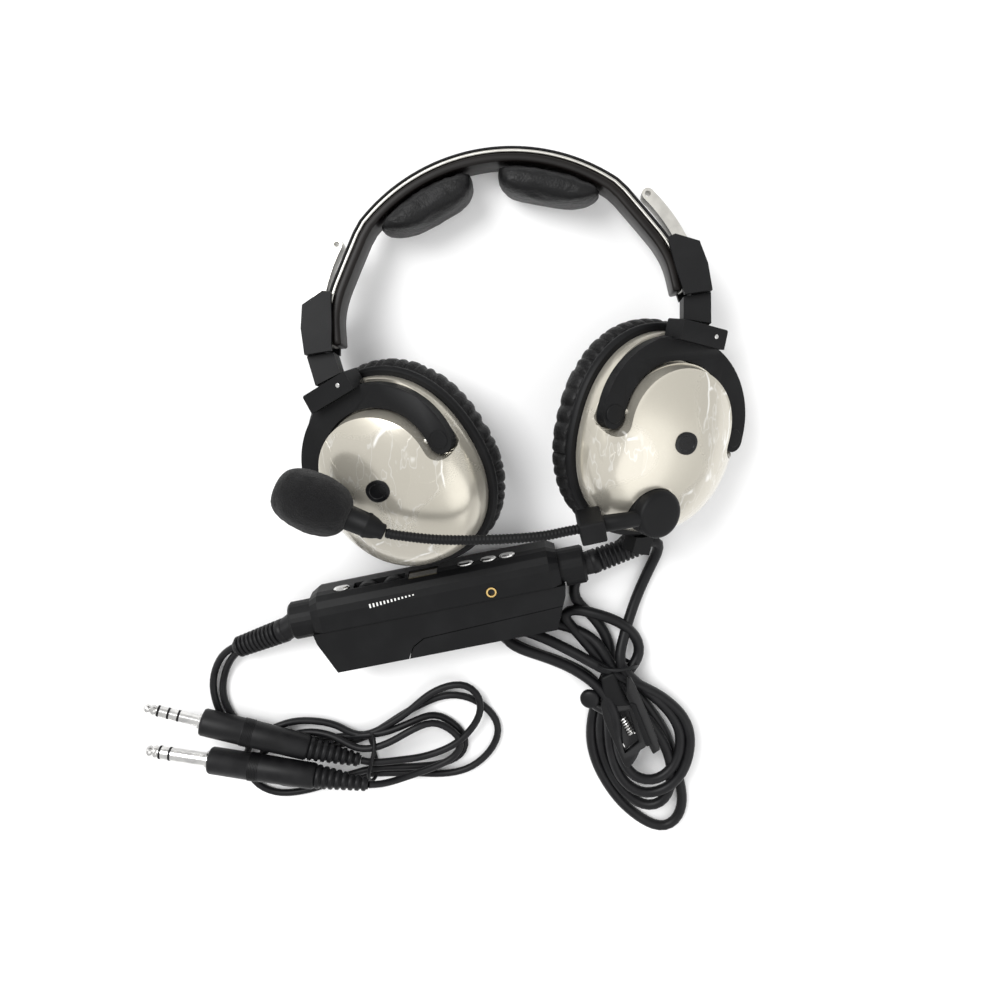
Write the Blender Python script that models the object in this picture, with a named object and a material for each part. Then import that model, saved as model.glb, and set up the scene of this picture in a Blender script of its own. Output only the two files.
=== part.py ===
"""Aviation headset lying on a table: headband, two swivelling ear cups, boom microphone,
control module, twin plugs and their cords.

Sizes are in millimetres and are scaled to metres when a mesh is made. +Z is up, the table is
z = 0, +X is to the wearer's left cup and +Y is towards the top of the headband.
"""
import math

import bmesh
import bpy
from mathutils import Matrix, Vector

MM = 0.001
GAP = 0.3                     # clearance between pieces that touch on the real object

# ---- how the object lies on the table -------------------------------------------------------
FOOTPRINT = (3.49, 39.05)      # middle of the rigid pieces' footprint, which becomes the origin
HEAD_POSITION = (11.5, 29.4, 42.95)
HEAD_TURN = 9.0               # degrees about the vertical
HEAD_TILT = 14.6              # the top of the band is lower than the cups by this angle

# ---- headband (in the upright headset: x to one side, y to the back, z up) ------------------
BAND_RADIUS = 78.0            # outer surface of the arch
BAND_CENTRE_Z = 48.3
BAND_HALF_ANGLE = 42.5        # degrees from the top to the kink
BAND_LEG = [(56.0, 101.6), (59.6, 95.8), (64.4, 88.0), (69.4, 79.2), (72.6, 70.0), (73.9, 58.0)]
COVER_THICK = 1.0
TRIM_THICK = 1.3
CORE_THICK = 3.5
BAND_WIDTH = 16.0
BAND_THICK = COVER_THICK + TRIM_THICK + CORE_THICK + 2 * GAP
PAD_START = 4.6               # degrees from the top of the arch
PAD_END = 40.5
PAD_THICK = 14.0
PAD_WIDTH = 27.0

# ---- slider, its housing and the swivel arm ---------------------------------------------------
SLIDE_CENTRE = (3.5, 54.0)    # the slider is an arc about this point
SLIDE_OUTER = 77.2
SLIDE_THICK = 4.8
SLIDE_WIDTH = 8.0
SLIDE_TIP_ANGLE = 36.4
SLIDE_END_ANGLE = 17.0
SLIDE_TRAVEL = 24.0
EYE_RADIUS = 1.2
HOUSING_FLOOR = 55.0
HOUSING_TOP = 78.6
HOUSING_DEPTH = 22.0
RISER_THICK = 3.6
RISER_X = 77.4                # middle of the riser, straight above the arm
SLOT_CLEARANCE = 0.5
ARM_DEPTH = 13.0
LEAN = 18.0                   # swivel axis from the vertical
SWIVEL_POINT = (73.3, 45.3)   # where the swivel axis leaves the arm
ARM_SPAN = (-3.4, 7.8)        # inner and outer edge of the arm's end, from the swivel axis
SWIVEL_PIN_RADIUS = 3.0
SWIVEL_PIN_LENGTH = 4.2
PIN_CLEARANCE = 0.35

# ---- yoke (in the yoke's frame: x fore and aft, y up from the cup pivots, z outward) --------
YOKE_DROP = 40.6              # from the arm's end to the cup pivots
YOKE_CANT = 4.0
YOKE_HALF_WIDTH = 36.4
YOKE_HALF_HEIGHT = 34.6
YOKE_ARM = 10.0
YOKE_THICK = 5.0
YOKE_END_DROP = 3.0           # below the pivots, where the round ends start
RECESS_CLEARANCE = 1.1        # around the yoke in the cup's recess
BLOCK_WIDTH = 23.0
BLOCK_HEIGHT = 8.0
BLOCK_RISE = 8.0

# ---- ear cup (its centre is set from the pivots) ----------------------------------------------
CUP_DROP = 7.0
CUP_INSET = 8.0
RIM = (37.0, 42.0)
CUP_POWER = 2.2               # superellipse exponent of every oval
DOME = [(1.0, 0.5), (0.985, 3.0), (0.955, 6.5), (0.88, 10.8), (0.73, 14.6), (0.5, 17.6), (0.26, 19.2)]
RIM_LIP = 3.0                 # height of the shell's straight wall below the rim plane
PLATE_GROWTH = 3.2            # the base plate stands out past the shell by this much
PLATE_THICK = 3.4
SEAL_GROWTH = 3.9
SEAL_DEPTH = 13.0
SEAL_OPENING = (25.5, 30.5)
DRIVER_RADIUS = 18.6
TILT_RANGE = (-13.0, 12.4)    # cup in the yoke, from parallel
PIVOT_PIN_RADIUS = 2.0

# ---- present pose: (swivel, tilt of the cup in the yoke), degrees ------------------------------
POSE = {"left": (56.9, 4.0), "right": (65.6, 8.0)}
SIDE = {"left": 1, "right": -1}

# ---- boom microphone (on the wearer's left cup, in that cup's frame about its centre) --------
HUB_AT = (-4.0, -30.0)
HUB_RADIUS = 10.0
HUB_BASE = (11.0, 16.0)       # from and to, along the cup's outward axis
HUB_CAP_THICK = 5.2
BOOM_ARM_END = (-22.5, -37.4, 12.6)
CLAMP_AT = (-27.4, -40.0, 9.6)
CLAMP_SIZE = (12.0, 17.0, 9.0)
NECK_DIAMETER = 4.2
NECK_ROUTE = [(-35.5, -44.6, 5.2), (-46.1, -49.2, 1.1), (-63.0, -54.8, -7.4), (-79.1, -59.5, -17.6),
              (-92.0, -61.9, -26.9), (-96.6, -62.3, -30.4)]
HOLDER_ROUTE = [(-96.9, -62.3, -30.6), (-111.5, -59.4, -38.8)]
FOAM_CENTRE = (-122.5, -57.1, -44.1)
FOAM_TIP = (-138.0, -54.0, -52.6)
FOAM_RADIUS = 13.5

# ---- control module (u along it, v across it, w up from the table) ---------------------------
MODULE_AT = (-94.8, -53.7)
MODULE_TURN = 11.9
MODULE_THICK = 26.0
MODULE_BODY = (11.5, 124.0)
MODULE_TOP = 12.6
MODULE_FOOT = -24.5
MODULE_SEAM = -4.2
MODULE_WALL = 2.6
STUB_RADIUS = 8.7
STUB_ENDS = (0.0, 136.0)
AXIS_W = MODULE_THICK / 2
FOOT_INSET = 1.4              # the battery half is thinner by this on each face
FOOT_SLOPE = (10.5, 17.0, 118.0, 125.5)
DOOR_EDGE = [(50.0, -24.5), (53.0, -19.0), (58.5, -16.0), (124.6, -13.6)]
DOOR_TRAVEL = 10.0
CELL_RADIUS = 7.05
CELL_LENGTH = 50.2
WHEEL_RADIUS = 5.5
WHEEL_THICK = 4.6
WHEEL_PLACES = ((38.6, 17.4), (50.2, 17.4))
WINDOW_SPAN = (57.6, 71.0)
BUTTON_PLACES = {"power_button": 27.0, "mode_button": 83.8, "volume_up_button": 94.2,
                 "volume_down_button": 102.6}
BUTTON_SIZE = (7.4, 4.4)
BUTTON_W = 18.0
BUTTON_STROKE = 0.8
JACK_AT = (92.9, -0.4)
JACK_RADIUS = 2.3

# ---- cords, plugs and what is on them --------------------------------------------------------
CORD_DIAMETER = 5.4
TWIN_DIAMETER = 4.0
RELIEF_LENGTH = 28.0
RELIEFS = {"left": ((-97.6, -57.8, 13.0), (-123.6, -69.8, 7.6)),
           "right": ((40.4, -25.6, 12.8), (65.2, -17.2, 9.4))}
PLUGS = {"upper": ((-140.6, -105.2, 11.4), (-90.4, -119.0, 11.4)),
         "lower": ((-138.1, -125.2, 11.8), (-87.2, -130.9, 17.0))}
PLUG_RADIUS = 6.5
PLUG_BODY = 52.0
PLUG_TAIL = 25.0
CONTACT_RADIUS = {"upper": 2.6, "lower": 3.17}
CONTACT_LENGTH = {"upper": 27.5, "lower": 31.0}
GLAND_AT = (10.0, -47.6, -6.6)
GLAND_LEAD = [(56.8, -10.5, 13.0), (55.4, -13.2, 7.6), (52.4, -16.8, 3.2), (49.6, -21.0, 2.75),
              (47.0, -28.5, 2.75), (42.0, -35.5, 2.75), (36.0, -41.0, 2.75), (32.6, -46.0, 2.75),
              (31.6, -50.0, 2.75), (33.4, -54.2, 2.75)]
MODULE_LEAD = [(68.0, -16.3, 9.1), (70.0, -15.9, 8.7), (72.0, -18.0, 6.6), (72.4, -22.5, 4.4),
               (70.8, -30.0, 2.8), (67.4, -41.0, 2.8), (63.6, -52.0, 2.8)]
TWIN_LEADS = {"outer": [(-125.4, -68.6, 7.6), (-131.2, -75.5, 4.6), (-135.6, -84.0, 2.3), (-136.8, -92.6, 2.2)],
              "inner": [(-123.9, -73.1, 7.0), (-128.0, -79.0, 3.4), (-131.0, -86.4, 2.2), (-132.0, -94.0, 2.2)]}
COIL_OUTLINE = [(36.0, -58.6), (64.0, -53.0), (69.0, -66.0), (66.0, -84.0), (82.0, -94.0), (93.0, -110.0),
                (95.0, -132.0), (90.0, -160.0), (81.0, -170.5), (62.0, -162.0), (47.0, -144.0),
                (41.0, -118.0), (47.0, -95.0), (52.0, -86.0), (26.0, -77.0), (0.0, -67.5), (-3.4, -61.8),
                (4.0, -60.4), (16.0, -58.6)]
COIL_HEIGHT = 10.0
HANK_RIGHT = [(-60.0, -128.0), (-47.0, -108.0), (-33.0, -93.5), (-16.6, -86.8), (-3.0, -93.0),
              (3.0, -109.0), (-3.0, -126.0), (-18.0, -136.0), (-38.0, -140.0), (-58.0, -140.0)]
HANK_LEFT = [(-58.0, -120.0), (-81.5, -107.9), (-98.0, -104.5), (-112.0, -108.0), (-120.0, -116.8),
             (-123.3, -132.9), (-118.1, -146.0), (-102.8, -151.3), (-83.1, -149.0), (-58.0, -141.0)]
HANK_HEIGHT = {"right": 9.0, "left": 4.4}
CLIP_AT = (63.0, -103.0)
CLIP_TURN = 28.0
CLIP_SIZE = (13.0, 30.0, 3.0)


# ---- helpers ------------------------------------------------------------------------------------
def clear_scene():
    """Remove every object of the start-up scene."""
    for obj in list(bpy.data.objects):
        bpy.data.objects.remove(obj, do_unlink=True)


def material(name, colour, roughness, metallic=0.0):
    """Return a Principled material, made once per name."""
    found = bpy.data.materials.get(name)
    if found:
        return found
    made = bpy.data.materials.new(name)
    made.use_nodes = True
    shader = made.node_tree.nodes["Principled BSDF"]
    shader.inputs["Base Color"].default_value = (*colour, 1.0)
    shader.inputs["Roughness"].default_value = roughness
    shader.inputs["Metallic"].default_value = metallic
    return made


def black_plastic():
    """Matte black moulding, used for most of the pieces."""
    return material("matte_black", (0.018, 0.018, 0.019), 0.55)


def leather():
    """Black leatherette of the seals and head pads."""
    return material("black_leather", (0.014, 0.014, 0.015), 0.5)


def rubber():
    """Black cord jacket and moulded reliefs."""
    return material("black_rubber", (0.02, 0.02, 0.021), 0.65)


def satin_silver():
    """Champagne-silver satin metal of the cups and sliders."""
    return material("satin_silver", (0.66, 0.63, 0.56), 0.35, 0.85)


def bright_metal():
    """Plated metal of pins, contacts and buttons."""
    return material("bright_metal", (0.75, 0.74, 0.72), 0.2, 1.0)


def matrix_from(x_axis, y_axis, origin):
    """Matrix with the given x and y axes (metres, orthonormal) and origin in millimetres."""
    x_axis = Vector(x_axis).normalized()
    z_axis = x_axis.cross(Vector(y_axis)).normalized()
    y_axis = z_axis.cross(x_axis)
    matrix = Matrix((x_axis, y_axis, z_axis)).transposed().to_4x4()
    matrix.translation = Vector(origin) * MM
    return matrix


def along(start, end):
    """Matrix whose z axis runs from start to end, with its origin at start (millimetres)."""
    direction = (Vector(end) - Vector(start)).normalized()
    matrix = direction.to_track_quat("Z", "Y").to_matrix().to_4x4()
    matrix.translation = Vector(start) * MM
    return matrix


def empty(name, parent, matrix):
    """Add an empty as a moving piece's axis or a sub-assembly's frame."""
    made = bpy.data.objects.new(name, None)
    bpy.context.scene.collection.objects.link(made)
    made.empty_display_size = 10 * MM
    made.parent = parent
    made.matrix_basis = matrix
    return made


def shift(x=0.0, y=0.0, z=0.0):
    """Translation matrix from millimetres."""
    return Matrix.Translation(Vector((x, y, z)) * MM)


def turn(degrees, axis):
    """Rotation matrix about one of X, Y and Z."""
    return Matrix.Rotation(math.radians(degrees), 4, axis)


def add_object(name, bm, shader, parent, matrix=None):
    """Make an object from a bmesh in millimetres, shaded smooth with sharp edges kept."""
    bmesh.ops.recalc_face_normals(bm, faces=bm.faces)
    bmesh.ops.scale(bm, vec=Vector((MM, MM, MM)), verts=bm.verts)
    mesh = bpy.data.meshes.new(name)
    bm.to_mesh(mesh)
    bm.free()
    made = bpy.data.objects.new(name, mesh)
    bpy.context.scene.collection.objects.link(made)
    made.parent = parent
    made.matrix_basis = matrix or Matrix.Identity(4)
    mesh.shade_smooth()
    mesh.set_sharp_from_angle(angle=math.radians(35))
    if shader:
        mesh.materials.append(shader)
    return made


def oval(half_x, half_y, z, centre=(0.0, 0.0), count=36):
    """Points of a superellipse in the plane z."""
    points = []
    for step in range(count):
        angle = 2 * math.pi * step / count
        c, s = math.cos(angle), math.sin(angle)
        x = math.copysign(abs(c) ** (2 / CUP_POWER), c) * half_x
        y = math.copysign(abs(s) ** (2 / CUP_POWER), s) * half_y
        points.append(Vector((x + centre[0], y + centre[1], z)))
    return points


def loft(rings, closed=False):
    """Skin a list of equal rings; a closed loft joins the last ring to the first."""
    bm = bmesh.new()
    rows = [[bm.verts.new(point) for point in ring] for ring in rings]
    count = len(rows[0])
    pairs = list(zip(rows, rows[1:]))
    if closed:
        pairs.append((rows[-1], rows[0]))
    for low, high in pairs:
        for i in range(count):
            j = (i + 1) % count
            bm.faces.new((low[i], low[j], high[j], high[i]))
    if not closed:
        bm.faces.new(rows[0][::-1])
        bm.faces.new(rows[-1])
    return bm


def revolve(profile, count=24, closed=False):
    """Turn (radius, z) points about z; a closed profile gives a ring."""
    rings = []
    for radius, z in profile:
        ring = []
        for step in range(count):
            angle = 2 * math.pi * step / count
            ring.append(Vector((radius * math.cos(angle), radius * math.sin(angle), z)))
        rings.append(ring)
    return loft(rings, closed)


def prism(outline, low, high, plane="XY"):
    """Extrude an outline between two levels; plane XZ extrudes along y, XY along z."""
    def place(point, level):
        if plane == "XZ":
            return Vector((point[0], level, point[1]))
        return Vector((point[0], point[1], level))
    return loft([[place(point, low) for point in outline], [place(point, high) for point in outline]])


def box(low, high):
    """A box between two corners."""
    outline = [(low[0], low[1]), (high[0], low[1]), (high[0], high[1]), (low[0], high[1])]
    return prism(outline, low[2], high[2])


def merge(*parts):
    """Put several bmeshes into one."""
    whole = parts[0]
    for part in parts[1:]:
        mesh = bpy.data.meshes.new("merged")
        part.to_mesh(mesh)
        part.free()
        whole.from_mesh(mesh)
        bpy.data.meshes.remove(mesh)
    return whole


def boolean(target, bm, operation="DIFFERENCE", matrix=None):
    """Cut or join target with a bmesh given in target's parent's frame."""
    cutter = add_object(target.name + "_" + operation.lower(), bm, None, target.parent, matrix)
    cutter.hide_render = True
    cutter.display_type = "WIRE"
    change = target.modifiers.new("shape", "BOOLEAN")
    change.operation = operation
    change.object = cutter
    return cutter


def bevel(target, width, segments=2, angle=35.0):
    """Round the edges that are sharper than an angle."""
    edge = target.modifiers.new("edges", "BEVEL")
    edge.width = width * MM
    edge.segments = segments
    edge.limit_method = "ANGLE"
    edge.angle_limit = math.radians(angle)


def smooth_route(route, count):
    """Points at even steps on a Catmull-Rom curve through the route."""
    points = [Vector(point) for point in route]
    points = [2 * points[0] - points[1], *points, 2 * points[-1] - points[-2]]
    dense = []
    for a, b, c, d in zip(points, points[1:], points[2:], points[3:]):
        for step in range(24):
            t = step / 24
            dense.append(0.5 * (2 * b + (c - a) * t + (2 * a - 5 * b + 4 * c - d) * t * t
                                + (3 * b - 3 * c + d - a) * t ** 3))
    dense.append(points[-2])
    lengths = [0.0]
    for a, b in zip(dense, dense[1:]):
        lengths.append(lengths[-1] + (b - a).length)
    result, index = [], 0
    for step in range(count):
        wanted = lengths[-1] * step / (count - 1)
        while index < len(dense) - 2 and lengths[index + 1] < wanted:
            index += 1
        span = max(lengths[index + 1] - lengths[index], 1e-9)
        result.append(dense[index].lerp(dense[index + 1], (wanted - lengths[index]) / span))
    return result


def smooth_outline(outline, count):
    """Points at even steps on a closed smooth curve through an outline."""
    flat = [Vector((x, y, 0.0)) for x, y in outline]
    ring = [*flat[-2:], *flat, *flat[:3]]
    curve = smooth_route(ring, 600)
    start = min(range(80, 300), key=lambda i: (curve[i] - flat[0]).length)
    end = min(range(start + 200, 600), key=lambda i: (curve[i] - flat[0]).length)
    return [tuple(curve[start + round((end - start) * step / count)].xy) for step in range(count)]


def tube(name, route, diameter, count, shader, parent):
    """A cord: a round tube on a POLY spline with filled caps."""
    curve = bpy.data.curves.new(name, "CURVE")
    curve.dimensions = "3D"
    curve.bevel_depth = diameter / 2 * MM
    curve.bevel_resolution = 2
    curve.use_fill_caps = True
    points = smooth_route(route, count)
    spline = curve.splines.new("POLY")
    spline.points.add(len(points) - 1)
    for target, point in zip(spline.points, points):
        target.co = (*(point * MM), 1.0)
    curve.materials.append(shader)
    made = bpy.data.objects.new(name, curve)
    bpy.context.scene.collection.objects.link(made)
    made.parent = parent
    return made


# ---- headband -------------------------------------------------------------------------------------
def band_path():
    """Outer edge of the band from the left housing over the top to the right housing."""
    half = []
    steps = 13
    for step in range(steps + 1):
        angle = math.radians(BAND_HALF_ANGLE) * step / steps
        half.append((BAND_RADIUS * math.sin(angle), BAND_CENTRE_Z + BAND_RADIUS * math.cos(angle)))
    half += [tuple(point.xy) for point in smooth_route([(x, z, 0.0) for x, z in BAND_LEG], 9)]
    return [(-x, z) for x, z in half[:0:-1]] + half


def offset_path(path, depth):
    """Move a path inward, towards the head, by a depth."""
    moved = []
    for i, point in enumerate(path):
        before = Vector(path[max(i - 1, 0)])
        after = Vector(path[min(i + 1, len(path) - 1)])
        heading = (after - before).normalized()
        moved.append((point[0] + heading.y * depth, point[1] - heading.x * depth))
    return moved


def strip(path, outer, inner, width):
    """A strip of the band between two depths."""
    outline = offset_path(path, outer) + offset_path(path, inner)[::-1]
    return prism(outline, -width / 2, width / 2, "XZ")


def make_band(frame):
    """The three layers of the band and its two head pads."""
    path = band_path()
    core = COVER_THICK + TRIM_THICK + 2 * GAP
    add_object("headband_cover", strip(path, 0.0, COVER_THICK, BAND_WIDTH - 2.0), black_plastic(), frame)
    trim = strip(path, COVER_THICK + GAP, core - GAP, BAND_WIDTH - 0.8)
    add_object("headband_spring", trim, satin_silver(), frame)
    add_object("headband_core", strip(path, core, BAND_THICK, BAND_WIDTH), black_plastic(), frame)
    for name, side in SIDE.items():
        pad = add_object(f"head_pad_{name}", prism(pad_outline(side), -PAD_WIDTH / 2, PAD_WIDTH / 2, "XZ"),
                         leather(), frame)
        bevel(pad, 4.5, 3)


def pad_outline(side):
    """Side view of a head pad: it follows the arch and swells towards the head."""
    top_radius = BAND_RADIUS - BAND_THICK - GAP
    steps = 9
    top, under = [], []
    for step in range(steps + 1):
        share = step / steps
        angle = math.radians(PAD_START + (PAD_END - PAD_START) * share)
        swell = PAD_THICK * (1 - abs(2 * share - 0.86) ** 3.2 / 1.9)
        for radius, points in ((top_radius, top), (top_radius - swell, under)):
            points.append((side * radius * math.sin(angle), BAND_CENTRE_Z + radius * math.cos(angle)))
    return top + under[::-1]


# ---- slider, housing and arm ----------------------------------------------------------------------
def arc(radius, start, end, steps, side):
    """Points on the slider's arc, between two angles."""
    points = []
    for step in range(steps + 1):
        angle = math.radians(start + (end - start) * step / steps)
        x = SLIDE_CENTRE[0] + radius * math.cos(angle)
        points.append((side * x, SLIDE_CENTRE[1] + radius * math.sin(angle)))
    return points


def make_housing(frame, name, side):
    """Fixed housing at the end of the band, slotted for the band's leg, slider and riser."""
    outline = [(68.0, HOUSING_TOP), (71.2, HOUSING_TOP + 0.9), (80.2, 75.2), (82.2, 66.0), (82.4, HOUSING_FLOOR + GAP),
               (71.4, HOUSING_FLOOR + GAP), (69.6, 66.0)]
    outline = [(side * x, z) for x, z in outline]
    housing = add_object(f"slider_housing_{name}", prism(outline, -HOUSING_DEPTH / 2, HOUSING_DEPTH / 2, "XZ"),
                         black_plastic(), frame)
    path = [(side * x, z) for x, z in band_path()[-9:]]
    leg = [(x + side * SLOT_CLEARANCE, z) for x, z in path]
    leg = [(leg[0][0], leg[0][1] + 6)] + leg + [(leg[-1][0], leg[-1][1] - 8)]
    leg += [(x - side * 12.0, z) for x, z in leg[::-1]]
    boolean(housing, prism(leg, -BAND_WIDTH / 2 - GAP, BAND_WIDTH / 2 + GAP, "XZ"))
    slot = arc(SLIDE_OUTER + SLOT_CLEARANCE, SLIDE_TIP_ANGLE, -8.0, 12, side)
    slot += arc(SLIDE_OUTER - SLIDE_THICK - SLOT_CLEARANCE, -8.0, SLIDE_TIP_ANGLE, 12, side)
    half = SLIDE_WIDTH / 2 + SLOT_CLEARANCE
    boolean(housing, prism(slot, -half, half, "XZ"))
    low = RISER_X - RISER_THICK / 2 - SLOT_CLEARANCE
    high = RISER_X + RISER_THICK / 2 + SLOT_CLEARANCE
    ends = sorted((side * low, side * high))
    boolean(housing, box((ends[0], -half, HOUSING_FLOOR - 5), (ends[1], half, HOUSING_TOP - 2.4)))


def make_slider(frame, name, side):
    """Silver arc that slides down through the housing as the arm is pulled out."""
    hinge = empty(f"slider_axis_{name}", frame, shift(side * SLIDE_CENTRE[0], 0.0, SLIDE_CENTRE[1]))
    middle = SLIDE_OUTER - SLIDE_THICK / 2
    tip = arc(middle, SLIDE_TIP_ANGLE, SLIDE_TIP_ANGLE, 1, 1)[0]
    outline = arc(SLIDE_OUTER, SLIDE_END_ANGLE, SLIDE_TIP_ANGLE, 8, 1)
    for step in range(1, 6):
        angle = math.radians(SLIDE_TIP_ANGLE + 180 * step / 6)
        outline.append((tip[0] + SLIDE_THICK / 2 * math.cos(angle), tip[1] + SLIDE_THICK / 2 * math.sin(angle)))
    outline += arc(SLIDE_OUTER - SLIDE_THICK, SLIDE_TIP_ANGLE, SLIDE_END_ANGLE, 8, 1)
    local = [(side * (x - SLIDE_CENTRE[0]), z - SLIDE_CENTRE[1]) for x, z in outline]
    slider = add_object(f"slider_{name}", prism(local, -SLIDE_WIDTH / 2, SLIDE_WIDTH / 2, "XZ"),
                        satin_silver(), hinge)
    eye = revolve([(EYE_RADIUS, -SLIDE_WIDTH), (EYE_RADIUS, SLIDE_WIDTH)], 12)
    boolean(slider, eye, matrix=shift(side * (tip[0] - SLIDE_CENTRE[0]), 0.0, tip[1] - SLIDE_CENTRE[1])
            @ turn(90, "X"))


def make_arm(frame, name, side):
    """Arm below the housing: a riser that runs up into it and a pin that the yoke turns on."""
    slide = empty(f"slide_{name}", frame, shift(side * SWIVEL_POINT[0], 0.0, SWIVEL_POINT[1]))
    slope = (math.cos(math.radians(LEAN)), -math.sin(math.radians(LEAN)))
    outline = [(slope[0] * reach, slope[1] * reach) for reach in ARM_SPAN]
    outline += [(82.4 - SWIVEL_POINT[0], HOUSING_FLOOR - SWIVEL_POINT[1]),
               (71.4 - SWIVEL_POINT[0], HOUSING_FLOOR - SWIVEL_POINT[1])]
    outline = [(side * x, z) for x, z in outline]
    arm = add_object(f"swivel_arm_{name}", prism(outline, -ARM_DEPTH / 2, ARM_DEPTH / 2, "XZ"),
                     black_plastic(), slide)
    middle = RISER_X - SWIVEL_POINT[0]
    ends = sorted((side * (middle - RISER_THICK / 2), side * (middle + RISER_THICK / 2)))
    riser_top = SLIDE_CENTRE[1] + (SLIDE_OUTER - SLIDE_THICK) * math.sin(math.radians(SLIDE_END_ANGLE)) - 1.6
    boolean(arm, box((ends[0], -SLIDE_WIDTH / 2, 4.0), (ends[1], SLIDE_WIDTH / 2, riser_top - SWIVEL_POINT[1])),
            "UNION")
    pin = revolve([(SWIVEL_PIN_RADIUS, -SWIVEL_PIN_LENGTH), (SWIVEL_PIN_RADIUS, 3.0)], 16)
    boolean(arm, pin, "UNION", turn(side * LEAN, "Y"))
    return slide


# ---- yoke and cup ---------------------------------------------------------------------------------
def yoke_outline(growth=0.0):
    """C-shaped outline of the yoke, open downwards, with round ends."""
    outer_x, outer_y = YOKE_HALF_WIDTH + growth, YOKE_HALF_HEIGHT + growth
    inner_x, inner_y = YOKE_HALF_WIDTH - YOKE_ARM - growth, YOKE_HALF_HEIGHT - YOKE_ARM - growth
    steps = 20
    outer = [(outer_x * math.cos(math.pi * i / steps), outer_y * math.sin(math.pi * i / steps))
             for i in range(steps + 1)]
    inner = [(inner_x * math.cos(math.pi * i / steps), inner_y * math.sin(math.pi * i / steps))
             for i in range(steps, -1, -1)]
    radius = (outer_x - inner_x) / 2
    middle = (outer_x + inner_x) / 2
    ends = {}
    for sign in (-1, 1):
        ends[sign] = [(sign * middle + radius * math.cos(math.radians(180 * i / 6)) * -1,
                       -YOKE_END_DROP - radius * math.sin(math.radians(180 * i / 6))) for i in range(7)]
    return outer + ends[-1] + inner + ends[1]


def make_yoke(swivel, name):
    """C-shaped yoke with the block that turns on the arm's pin; returns its pivot frame."""
    frame = empty(f"yoke_frame_{name}", swivel, shift(0.0, -YOKE_DROP) @ turn(YOKE_CANT, "X"))
    yoke = add_object(f"yoke_{name}", prism(yoke_outline(), -YOKE_THICK / 2, YOKE_THICK / 2),
                      black_plastic(), frame)
    top = YOKE_DROP - GAP - 0.4
    boolean(yoke, box((-BLOCK_WIDTH / 2, top - BLOCK_HEIGHT, -YOKE_THICK / 2),
                      (BLOCK_WIDTH / 2, top, BLOCK_RISE)), "UNION")
    hole_radius = SWIVEL_PIN_RADIUS + PIN_CLEARANCE
    hole = revolve([(hole_radius, -SWIVEL_PIN_LENGTH - 0.6), (hole_radius, 6.0)], 16)
    to_frame = frame.matrix_basis.inverted() @ turn(-90, "X")
    boolean(yoke, hole, matrix=to_frame)
    for sign in (-1, 1):
        pin_hole = revolve([(PIVOT_PIN_RADIUS + GAP, 20.0), (PIVOT_PIN_RADIUS + GAP, 45.0)], 12)
        boolean(yoke, pin_hole, matrix=turn(90 * sign, "Y"))
    return frame


def make_cup(yoke_frame, name, tilt):
    """Ear cup on its two pivot pins: shell, base plate, driver and seal."""
    hinge = empty(f"cup_axis_{name}", yoke_frame, turn(tilt, "X"))
    cup = empty(f"cup_frame_{name}", hinge, shift(0.0, -CUP_DROP, -CUP_INSET))
    rings = [oval(RIM[0], RIM[1], -RIM_LIP + GAP)]
    rings += [oval(RIM[0] * share, RIM[1] * share, z) for share, z in DOME]
    shell = add_object(f"cup_shell_{name}", loft(rings), satin_silver(), cup)
    hollow = [oval(23.5, 22.5, -RIM_LIP - 2, (0, -5)), oval(23.5, 22.5, 4.0, (0, -5)),
              oval(20.0, 19.0, 9.0, (0, -5)), oval(11.0, 10.0, 12.0, (0, -5))]
    boolean(shell, loft(hollow))
    to_pivots = shift(0.0, CUP_DROP, CUP_INSET)
    for step, angle in enumerate((TILT_RANGE[1], 0.0, TILT_RANGE[0])):
        recess = prism(yoke_outline(RECESS_CLEARANCE + 0.07 * step), -YOKE_THICK / 2 - GAP, 60.0)
        boolean(shell, recess, matrix=to_pivots @ turn(-angle, "X"))
    notch = box((-BLOCK_WIDTH / 2 - 1, YOKE_HALF_HEIGHT - 6, -YOKE_THICK / 2 - 0.9), (BLOCK_WIDTH / 2 + 1, 60, 60))
    boolean(shell, notch, matrix=to_pivots @ turn(-TILT_RANGE[1], "X"))
    end_x = YOKE_HALF_WIDTH - YOKE_ARM / 2
    end_radius = YOKE_ARM / 2 + RECESS_CLEARANCE + 0.15
    for sign in (-1, 1):
        end = revolve([(end_radius, -YOKE_THICK / 2 - 2.4), (end_radius, 50.0)], 24)
        boolean(shell, end, matrix=to_pivots @ shift(sign * end_x, -YOKE_END_DROP))
        pin_radius = PIVOT_PIN_RADIUS + GAP
        bore = revolve([(pin_radius, 20.0), (pin_radius, 30.0)], 12)
        boolean(shell, bore, matrix=to_pivots @ turn(90 * sign, "Y"))
        pin = revolve([(PIVOT_PIN_RADIUS, 21.5), (PIVOT_PIN_RADIUS, 36.0)], 12)
        end = "front" if sign * SIDE[name] < 0 else "rear"
        add_object(f"pivot_pin_{name}_{end}", pin, bright_metal(), hinge, turn(90 * sign, "Y"))
    make_base(cup, name)
    return cup


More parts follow.
